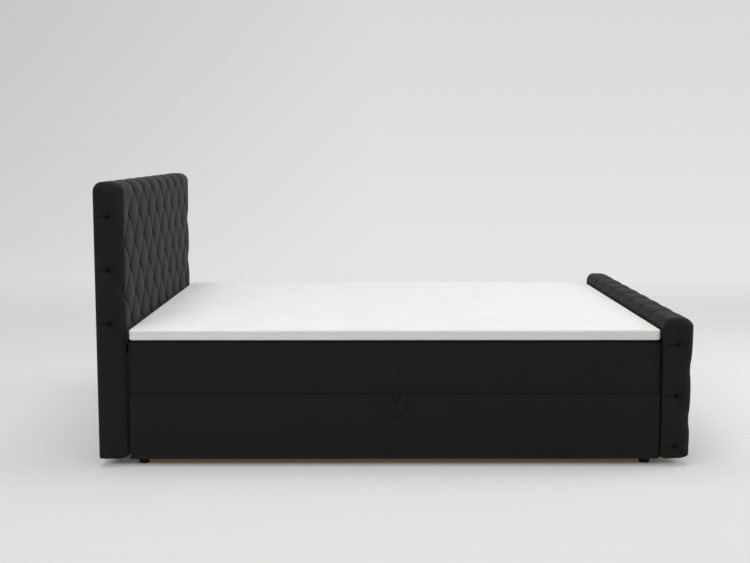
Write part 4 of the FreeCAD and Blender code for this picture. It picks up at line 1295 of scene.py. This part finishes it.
    def split_along_pleats(
        self, faces: list[list[int]], across: Values, along: Values, index: Values
    ) -> list[list[int]]:
        """Cuts the face's quads in two along the nearest pleat, so that pleats run on edges."""
        done = []
        on_face = index[:, 0] == index[:, 0].max()
        for face in faces:
            if not all(on_face[n] for n in face):
                done.append(face)
                continue
            x = sum(across[n] for n in face) / 4 / self.column_pitch
            w = (sum(along[n] for n in face) / 4 - self.top_row) / self.row_pitch
            falling = abs((x + w) - round(x + w))
            rising = abs((x - w) - round(x - w))
            low_left, high_left, low_right, high_right = sorted(
                face, key=lambda n: (index[n, 1], index[n, 2])
            )
            if falling < rising:
                done += [[low_left, low_right, high_left], [low_right, high_right, high_left]]
            else:
                done += [[low_left, low_right, high_right], [low_left, high_right, high_left]]
        return done

    def hollow(
        self,
        number: Values,
        count: int,
        table_x: Values,
        table_y: Values,
        table_z: Values,
    ) -> tuple[list[tuple[float, float, float]], list[list[int]]]:
        """Walls of the space that the frame's timbers fill.

        Args:
            number: The skin's point numbers by lattice index.
            count: How many points the skin has.
            table_x: Centres of the lines through the board.
            table_y: Centres of the lines across it.
            table_z: Centres of the lines up it.

        Returns:
            The new points and the new faces.
        """
        left = max(n for n, v in enumerate(table_y) if abs(v + self.inner_y) < 1e-6)
        right = min(n for n, v in enumerate(table_y) if abs(v - self.inner_y) < 1e-6)
        top = next(n for n, v in enumerate(table_z) if abs(v - self.inner_z) < 1e-6)
        wall = next(n for n, v in enumerate(table_x) if abs(v - self.wall_x) < 1e-6)
        step = next(n for n, v in enumerate(table_z) if v > self.floor_gap + self.bottom_round + 1e-6)
        added: list[tuple[float, float, float]] = []
        made: dict[tuple[int, int], int] = {}

        def deep(i: int, j: int) -> int:
            """Number of the point on the far wall of the hollow at a column and a row."""
            if j == 0:
                return number[(wall, i, 0)]
            if (i, j) not in made:
                made[(i, j)] = count + len(added)
                added.append((self.wall_x, float(table_y[i]), float(table_z[j])))
            return made[(i, j)]

        faces = []
        for i, flip in ((left, False), (right, True)):
            low = [number[(0, i, j)] for j in range(step, -1, -1)]
            low += [number[(k, i, 0)] for k in range(1, wall + 1)] + [deep(i, step)]
            faces.append(low[::-1] if flip else low)
            for j in range(step, top):
                face = [number[(0, i, j)], deep(i, j), deep(i, j + 1), number[(0, i, j + 1)]]
                faces.append(face[::-1] if flip else face)
        for i in range(left, right):
            faces.append([number[(0, i, top)], deep(i, top), deep(i + 1, top), number[(0, i + 1, top)]])
        loop = [deep(i, 0) for i in range(left, right + 1)]
        loop += [deep(right, j) for j in range(step, top + 1)]
        loop += [deep(i, top) for i in range(right - 1, left - 1, -1)]
        loop += [deep(left, j) for j in range(top - 1, step - 1, -1)]
        faces.append(loop[::-1])
        return added, faces

    def build(self, rule: TuftRule, stitches: StitchRule) -> None:
        """Makes and dresses the board's cover and its back cloth."""
        piece = self.pad()
        turn_outwards(piece)
        rule.grow(
            piece, Slot.UPHOLSTERY.material,
            Column_pitch=self.column_pitch, Row_pitch=self.row_pitch,
            Top_row=self.top_row, Lowest_row=self.lowest_row, Outer_column=3.5,
            Dome_height=self.dome, Pleat_rise=self.pleat, Dome_edge=0.11, Tuck_edge=0.24,
            Top_sharpness=0.25, Unevenness=0.0015, Seed=self.seed,
        )
        hand_over(piece, "base", Slot.UPHOLSTERY, [self.name + "_pad"], corner=70.0)
        self.back_cloth(stitches)

    def back_cloth(self, stitches: StitchRule) -> None:
        """Plain cloth drawn over the open back, with staples along its edge."""
        half_y = self.inner_y - self.cloth_gap
        low = self.floor_gap + self.cloth_gap
        high = self.inner_z - self.cloth_gap
        y = [-half_y] + spaced(-half_y, half_y, self.cloth_step) + [half_y]
        z = [low] + spaced(low, high, self.cloth_step) + [high]
        yy, zz = np.meshgrid(y, z, indexing="ij")
        edge = np.minimum.reduce([yy + half_y, half_y - yy, zz - low, high - zz])
        pucker = self.pucker_depth * np.exp(-edge / self.pucker_reach)
        pucker *= np.cos((yy + zz) * 2.0 * math.pi / self.pucker_pitch)
        sides = [
            np.stack([self.back_x + depth + pucker, yy, zz], axis=-1).reshape(-1, 3)
            for depth in (self.cloth_lift, self.cloth_thick)
        ]
        count = yy.size
        number = np.arange(count).reshape(yy.shape)
        border = rim(number)
        edges = np.column_stack([border, np.roll(border, -1)])
        around = np.column_stack([edges, edges[:, ::-1] + count])
        faces = quads(number.T) + quads(number + count) + around.tolist()
        cloth = as_piece(self.back_node + "_cloth", np.concatenate(sides), faces)
        turn_outwards(cloth)
        hand_over(cloth, "base", Slot.PLAIN_CLOTH, [self.back_node])
        x, side = self.back_x - self.cloth_lift, half_y - self.staple_inset
        under, over = low + self.staple_inset, high - self.staple_inset
        corners = [(x, -side, under), (x, side, under)]
        if self.staples_all_round:
            corners += [(x, side, over), (x, -side, over)]
        staples = stitches.sew(
            self.back_node + "_staples", corners, self.staples_all_round, "base", Slot.PLATED_STEEL,
            Pitch=0.045, Length=0.011, Width=0.0012, Height=0.0012,
        )


@dataclass
class StorageBox:
    """The box under the mattress: fabric round its panels."""

    half_x: float = 1.003
    half_y: float = 0.800
    low: float = 0.030
    high: float = 0.2817
    cover: float = 0.004
    rim: float = 0.022
    fold: float = 0.002
    corner: float = 0.010
    edge: float = 0.0018
    drawn_in: float = 0.0008
    wave: float = 0.0007
    wave_pitch: float = 0.35

    def build(self) -> None:
        """Makes the fabric band, turned over the rim of the panels."""
        edge = self.edge
        heights = reversed(spaced(self.low + edge, self.high - edge, 0.022))
        profile = rounded_side(self.low, self.high, edge, edge, [(0.0, z) for z in heights])
        profile += [(self.cover, self.low)]
        profile += [(self.cover, self.high - self.fold), (self.rim, self.high - self.fold)]
        profile += [(self.rim, self.high)]
        outline = Outline(self.half_x, self.half_y, self.corner, 0.022)
        piece = RingedForm(outline, profile, None, None).piece("box_fabric")
        points = places(piece)
        outside = on_sides(points, self.half_x, self.half_y)
        middle = np.sin(np.clip((points[:, 2] - self.low) / (self.high - self.low), 0, 1) * math.pi)
        wave = self.wave * (1.0 + ripple(points * (1, 1, 0.5), self.wave_pitch, 3))
        drawn = self.drawn_in * (1.0 - middle) + wave
        inward(piece, np.where(outside & (middle > 0.02), drawn, 0.0))
        hand_over(piece, "base", Slot.UPHOLSTERY, ["box_cover"], corner=50.0)


@dataclass
class SpringMattress:
    """The mattress that is the lid: its cover, foams and pocket springs."""

    half_x: float = 1.003
    half_y: float = 0.800
    low: float = 0.2823
    high: float = 0.485
    corner: float = 0.024
    top_round: float = 0.030
    bottom_round: float = 0.006
    cover: float = 0.008
    rail: float = 0.020
    rail_bottom: float = 0.2853
    deck_top: float = 0.3513
    spring_top: float = 0.452
    foam_top: float = 0.477
    wall: float = 0.060
    seam_depths: tuple[float, float] = (0.0015, 0.0012)
    seam_widths: tuple[float, float] = (0.006, 0.008)
    wave: float = 0.0010
    wave_pitch: float = 0.28
    top_sink: float = 0.0015
    gap: float = 0.0005
    foam_edge: float = 0.004
    foam_pitch: float = 0.08
    layer_round: float = 0.020
    layer_corner: float = 0.022
    pockets_long: int = 29
    pockets_wide: int = 23

    def build(self, pockets: PocketRule) -> None:
        """Makes the cover and what it holds."""
        self.make_cover()
        self.make_foams()
        self.make_springs(pockets)

    def make_cover(self) -> None:
        """The fabric cover: crowned, drawn in at its seams, open below where the frame shows."""
        low_seam, high_seam = self.low + self.bottom_round, self.high - self.top_round
        side = [(0.0, z) for z in reversed(spaced(low_seam, high_seam, 0.016))]
        profile = rounded_side(
            self.low, self.high, self.bottom_round, self.top_round, side, steps=(7, 5)
        )
        mouth = self.cover + self.rail
        profile += [(mouth, self.low), (mouth, self.rail_bottom), (self.cover, self.rail_bottom)]
        inner = self.top_round - self.cover
        profile += arc(self.cover + inner, self.foam_top - inner, inner, 0, 90, 5)
        outline = Outline(self.half_x, self.half_y, self.corner, 0.02)
        piece = RingedForm(outline, profile, Cap.GRID, Cap.FLAT).piece("mattress_fabric")
        points = places(piece)
        seams = zip((low_seam, high_seam), self.seam_widths, self.seam_depths)
        seam = sum(bell(points[:, 2] - level, width) * depth for level, width, depth in seams)
        wave = self.wave * (1.0 + ripple(points, self.wave_pitch, 5))
        outside = on_sides(points, self.half_x, self.half_y)
        top = points[:, 2] > self.high - 0.0005
        inward(piece, np.where(outside, seam + wave, 0.0) + np.where(top, self.top_sink + wave, 0.0))
        hand_over(piece, "lid", Slot.UPHOLSTERY, ["mattress_cover"], corner=50.0)

    def make_foams(self) -> None:
        """The comfort layer under the cover and the foam wall round the springs."""
        inset = self.cover + self.gap
        edge, pitch = self.foam_edge, self.foam_pitch
        low, high = self.spring_top + 0.0003, self.foam_top - 0.0008
        profile = rounded_side(low, high, edge, self.layer_round, steps=(4, 3))
        outline = Outline(self.half_x - inset, self.half_y - inset, self.layer_corner, pitch)
        layer = RingedForm(outline, profile).piece("comfort_layer")
        hand_over(layer, "lid", Slot.FOAM, ["mattress_comfort_foam"])
        low, high = self.deck_top + 0.0002, self.spring_top
        inside = self.cover + self.wall - edge
        profile = rounded_side(low, high, edge, edge, inset=inset)
        profile += arc(inside, low + edge, edge, -90, -180, 3)
        profile += arc(inside, high - edge, edge, 180, 90, 3)
        outline = Outline(self.half_x, self.half_y, self.corner, pitch)
        wall = RingedForm(outline, profile, None, None).piece("foam_wall")
        hand_over(wall, "lid", Slot.FOAM, ["mattress_edge_foam"])

    def make_springs(self, pockets: PocketRule) -> None:
        """Rows of sewn pockets, one for each spring."""
        span_x, span_y = (
            2 * (half - self.cover - self.wall - 0.0010) for half in (self.half_x, self.half_y)
        )
        radius = min(span_x / self.pockets_long, span_y / self.pockets_wide) / 2
        piece = path_piece("spring_pockets", [(0, 0, 0), (0, 0, 0.001)], False)
        pockets.grow(
            piece, Slot.POCKET_SPRINGS.material,
            Size_X=span_x - 2 * radius, Size_Y=span_y - 2 * radius,
            Columns=self.pockets_long, Rows=self.pockets_wide, Radius=radius * 1.03,
            Height=self.spring_top - self.deck_top - self.gap, Rise=(self.spring_top + self.deck_top) / 2,
        )
        hand_over(piece, "lid", Slot.POCKET_SPRINGS, ["mattress_springs"])


@dataclass
class Topper:
    """The white topper: a foam core in a knitted cover with a sewn border."""

    half_x: float = 1.000
    half_y: float = 0.800
    low: float = 0.485
    high: float = 0.524
    edge: float = 0.008
    corner: float = 0.022
    core_inset: float = 0.0035
    seam_inset: float = 0.0006
    top_wave: float = 0.0009
    side_wave: float = 0.0006

    def build(self, stitches: StitchRule) -> None:
        """Makes the cover, its seams and the core."""
        border = [
            (0.0008 * math.sin(math.pi * n / 4), self.high - self.edge - 0.0055 * n) for n in range(1, 4)
        ]
        profile = rounded_side(self.low, self.high, 0.006, self.edge, border, steps=(5, 4))
        outline = Outline(self.half_x, self.half_y, self.corner, 0.025, 5)
        cover = RingedForm(outline, profile).piece("topper_knit")
        points = places(cover)
        edge = np.minimum(self.half_x - np.abs(points[:, 0]), self.half_y - np.abs(points[:, 1]))
        top = points[:, 2] > self.high - 0.0005
        crown = self.top_wave * (1.0 + ripple(points * (1, 1, 0), 0.30, 8)) * np.clip(edge / 0.05, 0, 1)
        front = (edge < 0.002) * self.side_wave * (1.0 + ripple(points * (1, 1, 0.2), 0.16, 9))
        inward(cover, np.where(top, crown, front))
        hand_over(cover, "lid", Slot.TOPPER_CLOTH, ["topper_cover"], corner=60.0)
        for name, height in (("upper", self.high - 0.0085), ("lower", self.low + 0.0075)):
            path = [(x, y, height) for x, y in outline.ring(self.seam_inset).tolist()]
            stitches.sew(
                "topper_seam_" + name, path, True, "lid", Slot.TOPPER_CLOTH,
                Pitch=0.0065, Length=0.0048, Width=0.0012, Height=0.0012,
            )
        inset = self.core_inset
        profile = rounded_side(self.low + inset, self.high - inset, 0.004, 0.004, inset=inset)
        outline = Outline(self.half_x, self.half_y, self.corner, 0.08)
        core = RingedForm(outline, profile).piece("topper_foam")
        hand_over(core, "lid", Slot.FOAM, ["topper_core"])


@dataclass
class PullLoop:
    """The strap at the seam that lifts the lid, folded to a pointed loop."""

    centre_x: float = 0.005
    top: float = 0.2818
    face_y: float = -0.8006
    thick: float = 0.0046
    drop: float = 0.0895
    section: int = 16
    fold_reach: float = 0.16
    fold_swell: float = 0.25
    flatness: tuple[float, float] = (0.22, 0.55)
    bow: float = 0.0008
    hang_bow: float = 0.0006
    outer: tuple[tuple[float, float], ...] = (
        (-0.0450, 0.0), (-0.0440, -0.020), (-0.0425, -0.038), (-0.0375, -0.053), (-0.0285, -0.068),
        (-0.0175, -0.081), (-0.0070, -0.0885), (0.0, -0.0898), (0.0070, -0.0885), (0.0180, -0.081),
        (0.0290, -0.067), (0.0370, -0.052), (0.0420, -0.037), (0.0440, -0.019), (0.0450, 0.0),
    )
    inner: tuple[tuple[float, float], ...] = (
        (-0.0150, 0.0), (-0.0138, -0.010), (-0.0120, -0.019), (-0.0098, -0.027), (-0.0070, -0.0345),
        (-0.0038, -0.0405), (-0.0012, -0.0432), (0.0010, -0.0440), (0.0032, -0.0432), (0.0068, -0.0405),
        (0.0105, -0.0340), (0.0140, -0.0265), (0.0168, -0.0185), (0.0190, -0.0095), (0.0200, 0.0),
    )

    def build(self, stitches: StitchRule) -> None:
        """Makes the strap and the two rows of stitches along it."""
        outer, inner = self.even(self.outer), self.even(self.inner)
        section, stations = self.section, len(outer)
        points = []
        for n in range(stations):
            fold = math.exp(-(((n / (stations - 1) - 0.5) / self.fold_reach) ** 2))
            hang = math.sin(math.pi * min(1.0, -outer[n][1] / self.drop) / 2)
            for m in range(section):
                angle = 2.0 * math.pi * m / section
                wide = self.rounded(math.cos(angle), self.flatness[0])
                deep = self.rounded(math.sin(angle), self.flatness[1])
                body = self.thick / 2 * (1.0 + self.fold_swell * fold)
                bow = self.bow * math.cos(wide * math.pi / 2) + self.hang_bow * hang
                y = self.face_y - self.thick / 2 - bow - deep * body
                points.append(self.placed(outer[n], inner[n], (1.0 - wide) / 2, y))
        number = np.arange(len(points)).reshape(stations, section)
        band = np.column_stack([number, number[:, :1]])
        strap = as_piece("pull_strap", points, quads(band.T) + [list(number[0]), list(number[-1])])
        turn_outwards(strap)
        hand_over(strap, "pull_loop", Slot.UPHOLSTERY, ["pull_loop"], corner=60.0)
        y = self.face_y - self.thick - 0.0010
        for name, mix in (("outer", 0.13), ("inner", 0.87)):
            path = [self.placed(*pair, mix, y) for pair in zip(outer, inner)]
            stitches.sew(
                "pull_strap_stitches_" + name, path[1:-1], False, "pull_loop", Slot.UPHOLSTERY,
                Pitch=0.0042, Length=0.0030, Width=0.0009, Height=0.0007,
            )

    def placed(
        self, outer: tuple[float, float], inner: tuple[float, float], mix: float, y: float
    ) -> tuple[float, float, float]:
        """Place of a point between the strap's outer edge, at a mix of 0, and its inner one."""
        x, z = (a * (1 - mix) + b * mix for a, b in zip(outer, inner))
        return self.centre_x + x, y, self.top + z

    @staticmethod
    def rounded(value: float, power: float) -> float:
        """A cosine or sine pushed out towards a rounded oblong."""
        return math.copysign(abs(value) ** power, value)

    @staticmethod
    def even(corners: Sequence[tuple[float, float]], count: int = 49) -> list[tuple[float, float]]:
        """Smooth even points through listed ones."""
        table = np.array(corners)
        place = np.linspace(0, len(table) - 1, count)
        dense = np.stack([np.interp(place, np.arange(len(table)), table[:, a]) for a in range(2)], axis=1)
        for _ in range(3):
            dense[1:-1] = (dense[:-2] + 2 * dense[1:-1] + dense[2:]) / 4
        return [tuple(row) for row in dense.tolist()]


@dataclass
class HardParts:
    """Timbers, boards and fittings, which keep their CAD shapes."""

    timber: tuple[str, ...] = (
        "cross_plank_head", "cross_plank_middle", "cross_plank_foot",
        "headboard_post_near", "headboard_post_far",
        "headboard_rail_top", "headboard_rail_middle", "headboard_rail_bolted",
        "footboard_post_near", "footboard_post_far", "footboard_rail_top", "footboard_rail_bolted",
        "lid_rail_near", "lid_rail_far", "lid_rail_head", "lid_rail_foot", "lid_slats",
    )
    panels: tuple[str, ...] = (
        "side_panel_near", "side_panel_far", "end_panel_head", "end_panel_foot",
        "floor_panel", "headboard_face_board", "footboard_face_board", "lid_deck",
    )
    steel: tuple[str, ...] = (
        "headboard_bolts", "footboard_bolts", "hinge_fixed_leaves", "hinge_moving_leaves", "hinge_pins",
        "hinge_screws_box", "hinge_screws_lid", "strut_brackets_box", "strut_brackets_lid",
    )
    plastic: tuple[str, ...] = ("feet", "headboard_spacers", "footboard_spacers")
    painted: tuple[str, ...] = ("strut_cylinder_head", "strut_cylinder_foot")
    chromed: tuple[str, ...] = ("strut_rod_head", "strut_rod_foot")

    def dress(self, nodes: dict[str, bpy.types.Object]) -> None:
        """Gives every kept CAD node its finish.

        Args:
            nodes: The frame's CAD objects by name.
        """
        for names, slot in (
            (self.timber, Slot.TIMBER),
            (self.panels, Slot.WOOD_PANEL),
            (self.steel, Slot.PLATED_STEEL),
            (self.plastic, Slot.BLACK_PLASTIC),
            (self.painted, Slot.STRUT_PAINT),
            (self.chromed, Slot.ROD_CHROME),
        ):
            for name in names:
                mesh = nodes[name].data
                mesh.materials.clear()
                mesh.materials.append(slot.material)
            LOG.info("%s: %d CAD nodes", slot.value.name, len(names))


# --- Studio ---


@dataclass
class Studio:
    """Pale floor and backdrop, soft lamps and the camera."""

    eye: tuple[float, float, float] = (-0.089, -5.144, 1.199)
    tilt: float = 83.541
    turn: float = -0.187
    lens: float = 56.32
    floor_light: float = 0.762
    far_light: float = 0.800
    near_glow: float = 0.32
    distant_light: float = 0.72
    world_light: float = 0.18
    key_watts: float = 484.0
    front_watts: float = 132.0
    side_watts: float = 100.0
    shade_depth: float = 0.74
    wall_zone: tuple[float, float] = (1.5, 6.0)
    # Painted light falloff on the backdrop upwards and to the left, and painted shade on the floor
    # towards the camera and to the left, with their reaches and depths.
    wall_height: float = 3.0
    wall_fall: float = 0.091
    front_zone: tuple[float, float] = (-0.5, -2.0)
    front_fall: float = 0.04
    left_reach: float = 4.7
    left_fall: float = 0.175
    front_left_fall: float = 0.12
    # Half size of the bed's footprint, and the reach and depth of the painted contact shadow round it.
    bed: tuple[float, float] = (1.10, 0.80)
    painted_shadow_reach: float = 0.9
    painted_shadow_fall: float = 0.05
    outside: tuple[float, float] = (4.0, 8.0)

    def build(self) -> None:
        """Makes the stage, the light and the camera."""
        self.make_sweep()
        self.make_light()
        self.make_camera()

    def make_sweep(self) -> None:
        """A floor that curves up into a backdrop."""
        radius, back, front, top, half = 3.0, 7.0, -9.0, 9.0, 14.0
        line = [(front, 0.0)] + [(y, 0.0) for y in spaced(front, back, 0.5)]
        for turn in (math.radians(degrees) for degrees in range(0, 91, 6)):
            line.append((back + radius * math.sin(turn), radius - radius * math.cos(turn)))
        line.append((back + radius, top))
        points = [(x, y, z) for y, z in line for x in (-half, half)]
        number = np.arange(len(points)).reshape(-1, 2)
        sweep = as_piece("studio_sweep", points, quads(number.T))
        sweep.data.shade_smooth()
        sweep.data.materials.append(self.paper())

    def paper(self) -> bpy.types.Material:
        """The sweep's material: its own light to the camera and paper to the lamps, with a painted light
        falloff on the backdrop, painted shade and a painted contact shadow on the floor, and painted warm
        bounce light under the bed.
        """
        material = bpy.data.materials.new("studio_paper")
        tree = cleared(material)
        place = add_node(tree, "ShaderNodeTexCoord")
        parts = add_node(tree, "ShaderNodeSeparateXYZ", {0: place.outputs["Object"]})
        aside, away, rise = (Formula(tree, parts.outputs[axis]) for axis in "XYZ")
        far = away.ramp(*self.wall_zone)
        far = far * far * (3.0 - far * 2.0)
        left = (aside / -self.left_reach).within(0.0, 1.5)
        high = (rise / self.wall_height).within(0.0, 2.0).apply("POWER", 0.8)
        near = away.ramp(*self.front_zone)
        # Painted shade on the floor, darker towards the camera and more so on the left.
        reach, depth = (
            # Painted contact shadow on the floor round the bed, fading out over its reach.
            (way.apply("ABSOLUTE") - half).within(0.0, 1.0) for way, half in zip((aside, away), self.bed)
        )
        around = (1.0 - (reach * reach + depth * depth).apply("SQRT") / self.painted_shadow_reach).within(0.0, 1.0)
        front = near * (left * self.front_left_fall + self.front_fall)
        ground = (1.0 - front - around * self.painted_shadow_fall) * self.floor_light
        # Painted light falloff on the backdrop: darker higher up and to the left.
        paper = (self.far_light - high * self.wall_fall) * (1.0 - left * self.left_fall)
        wall = far.choose(paper, ground)
        beyond = aside.apply("ABSOLUTE").ramp(*self.outside)
        beyond = beyond.apply("MAXIMUM", (away * -1.0).ramp(*self.outside))
        glow = far.apply("MAXIMUM", beyond) * (1.0 - self.near_glow) + self.near_glow
        share = glow * (1.0 - self.beneath(aside, away, self.bed[0]) * self.shade_depth)
        # Painted warm bounce light from the timber on the floor under the bed.
        painted_warm_bounce = self.beneath(aside, away, 1.0)
        lit, shown = self.tinted(tree, ground, painted_warm_bounce), self.tinted(tree, wall, painted_warm_bounce)
        cloth = add_node(tree, "ShaderNodeBsdfDiffuse", {"Color": lit}).outputs[0]
        shine = add_node(tree, "ShaderNodeEmission", {"Color": shown, "Strength": 1.0}).outputs[0]
        sides = {0: self.background_rays(tree) * share, 1: cloth, 2: shine}
        shader = add_node(tree, "ShaderNodeMixShader", sides)
        add_node(tree, "ShaderNodeOutputMaterial", {"Surface": shader.outputs[0]})
        return material

    @staticmethod
    def background_rays(tree: bpy.types.NodeTree) -> Formula:
        """1 for rays that show the studio, straight, mirrored or refracted, and 0 for others."""
        rays = add_node(tree, "ShaderNodeLightPath").outputs
        names = ("Is Camera Ray", "Is Glossy Ray", "Is Transmission Ray")
        seen, glossy, clear = (Formula(tree, rays[name]) for name in names)
        return (seen + glossy + clear).within(0.0, 1.0)

    @staticmethod
    def beneath(aside: Formula, away: Formula, half_x: float) -> Formula:
        """1 on the floor right under the bed, where only stray light comes, and 0 around it."""
        wide = aside.apply("ABSOLUTE").ramp(half_x, half_x - 0.03)
        return wide * away.apply("ABSOLUTE").ramp(0.770, 0.735)

    @staticmethod
    def tinted(tree: bpy.types.NodeTree, level: Formula, painted_warm_bounce: Formula) -> bpy.types.NodeSocket:
        """A grey of a level: barely warm, or warmed by the painted bounce light that the timber throws
        down.
        """
        parts = {0: level, 1: level * (0.985 - painted_warm_bounce * 0.20), 2: level * (0.975 - painted_warm_bounce * 0.45)}
        return add_node(tree, "ShaderNodeCombineColor", parts).outputs[0]

    def make_light(self) -> None:
        """A plain world and three soft lamps."""
        world = bpy.data.worlds.new("studio_air")
        tree = cleared(world)
        extra = self.distant_light - self.world_light
        strength = self.background_rays(tree) * extra + self.world_light
        colours = {"Color": (1.0, 0.985, 0.975, 1.0), "Strength": strength}
        air = add_node(tree, "ShaderNodeBackground", colours)
        add_node(tree, "ShaderNodeOutputWorld", {"Surface": air.outputs[0]})
        bpy.context.scene.world = world
        self.lamp("overhead", (-0.4, -0.3, 8.0), (-0.3, 0.0, 0.3), 7.0, self.key_watts)
        self.lamp("front", (-2.4, -5.4, 4.2), (-0.8, -0.4, 0.4), 4.0, self.front_watts)
        self.lamp("foot_side", (4.6, 0.4, 2.6), (0.0, 0.0, 0.6), 3.0, self.side_watts)

    def lamp(
        self, name: str, place: Sequence[float], aim: Sequence[float], size: float, watts: float
    ) -> None:
        """Adds one square area lamp.

        Args:
            name: The lamp's name.
            place: Where it hangs.
            aim: The point that it faces.
            size: Its side.
            watts: Its power.
        """
        light = bpy.data.lights.new(name, "AREA")
        light.energy = watts
        light.size = size
        lamp = bpy.data.objects.new(name, light)
        lamp.location = place
        lamp.rotation_euler = (Vector(aim) - Vector(place)).to_track_quat("-Z", "Y").to_euler()
        bpy.context.scene.collection.objects.link(lamp)

    def make_camera(self) -> None:
        """The camera at the photograph's place and angle."""
        data = bpy.data.cameras.new("camera")
        data.lens = self.lens
        data.sensor_width = 36.0
        data.sensor_fit = "HORIZONTAL"
        data.clip_end = 60.0
        camera = bpy.data.objects.new("camera", data)
        camera.location = self.eye
        camera.rotation_euler = Euler((math.radians(self.tilt), 0.0, math.radians(self.turn)))
        bpy.context.scene.collection.objects.link(camera)
        bpy.context.scene.camera = camera


# --- Making ---


def main() -> None:
    """Builds the studio and every sub-assembly in order."""
    logging.basicConfig(level=logging.INFO, format="%(name)s: %(message)s", stream=sys.stdout)
    bpy.ops.wm.read_factory_settings(use_empty=True)
    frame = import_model()
    bpy.context.scene.view_settings.view_transform = "Standard"
    Studio().build()
    stitches = StitchRule()
    tufting = TuftRule()
    HardParts().dress(frame["nodes"])
    StorageBox().build()
    SpringMattress().build(PocketRule())
    Topper().build(stitches)
    PullLoop().build(stitches)
    headboard = TuftedBoard(
        "headboard", face_x=-1.008, height=1.078, row_pitch=0.200, top_row=1.046, lowest_row=0.446,
        back_node="headboard_back_cover", soft_from=0.44,
    )
    footboard = TuftedBoard(
        "footboard", face_x=1.120, height=0.570, row_pitch=0.194, top_row=0.564, lowest_row=-0.500,
        back_node="footboard_inner_cover", belly=0.008, staples_all_round=False, seed=23,
    )
    for board in (headboard, footboard):
        board.build(tufting, stitches)
    LOG.info("sizes written")


if __name__ == "__main__":
    main()
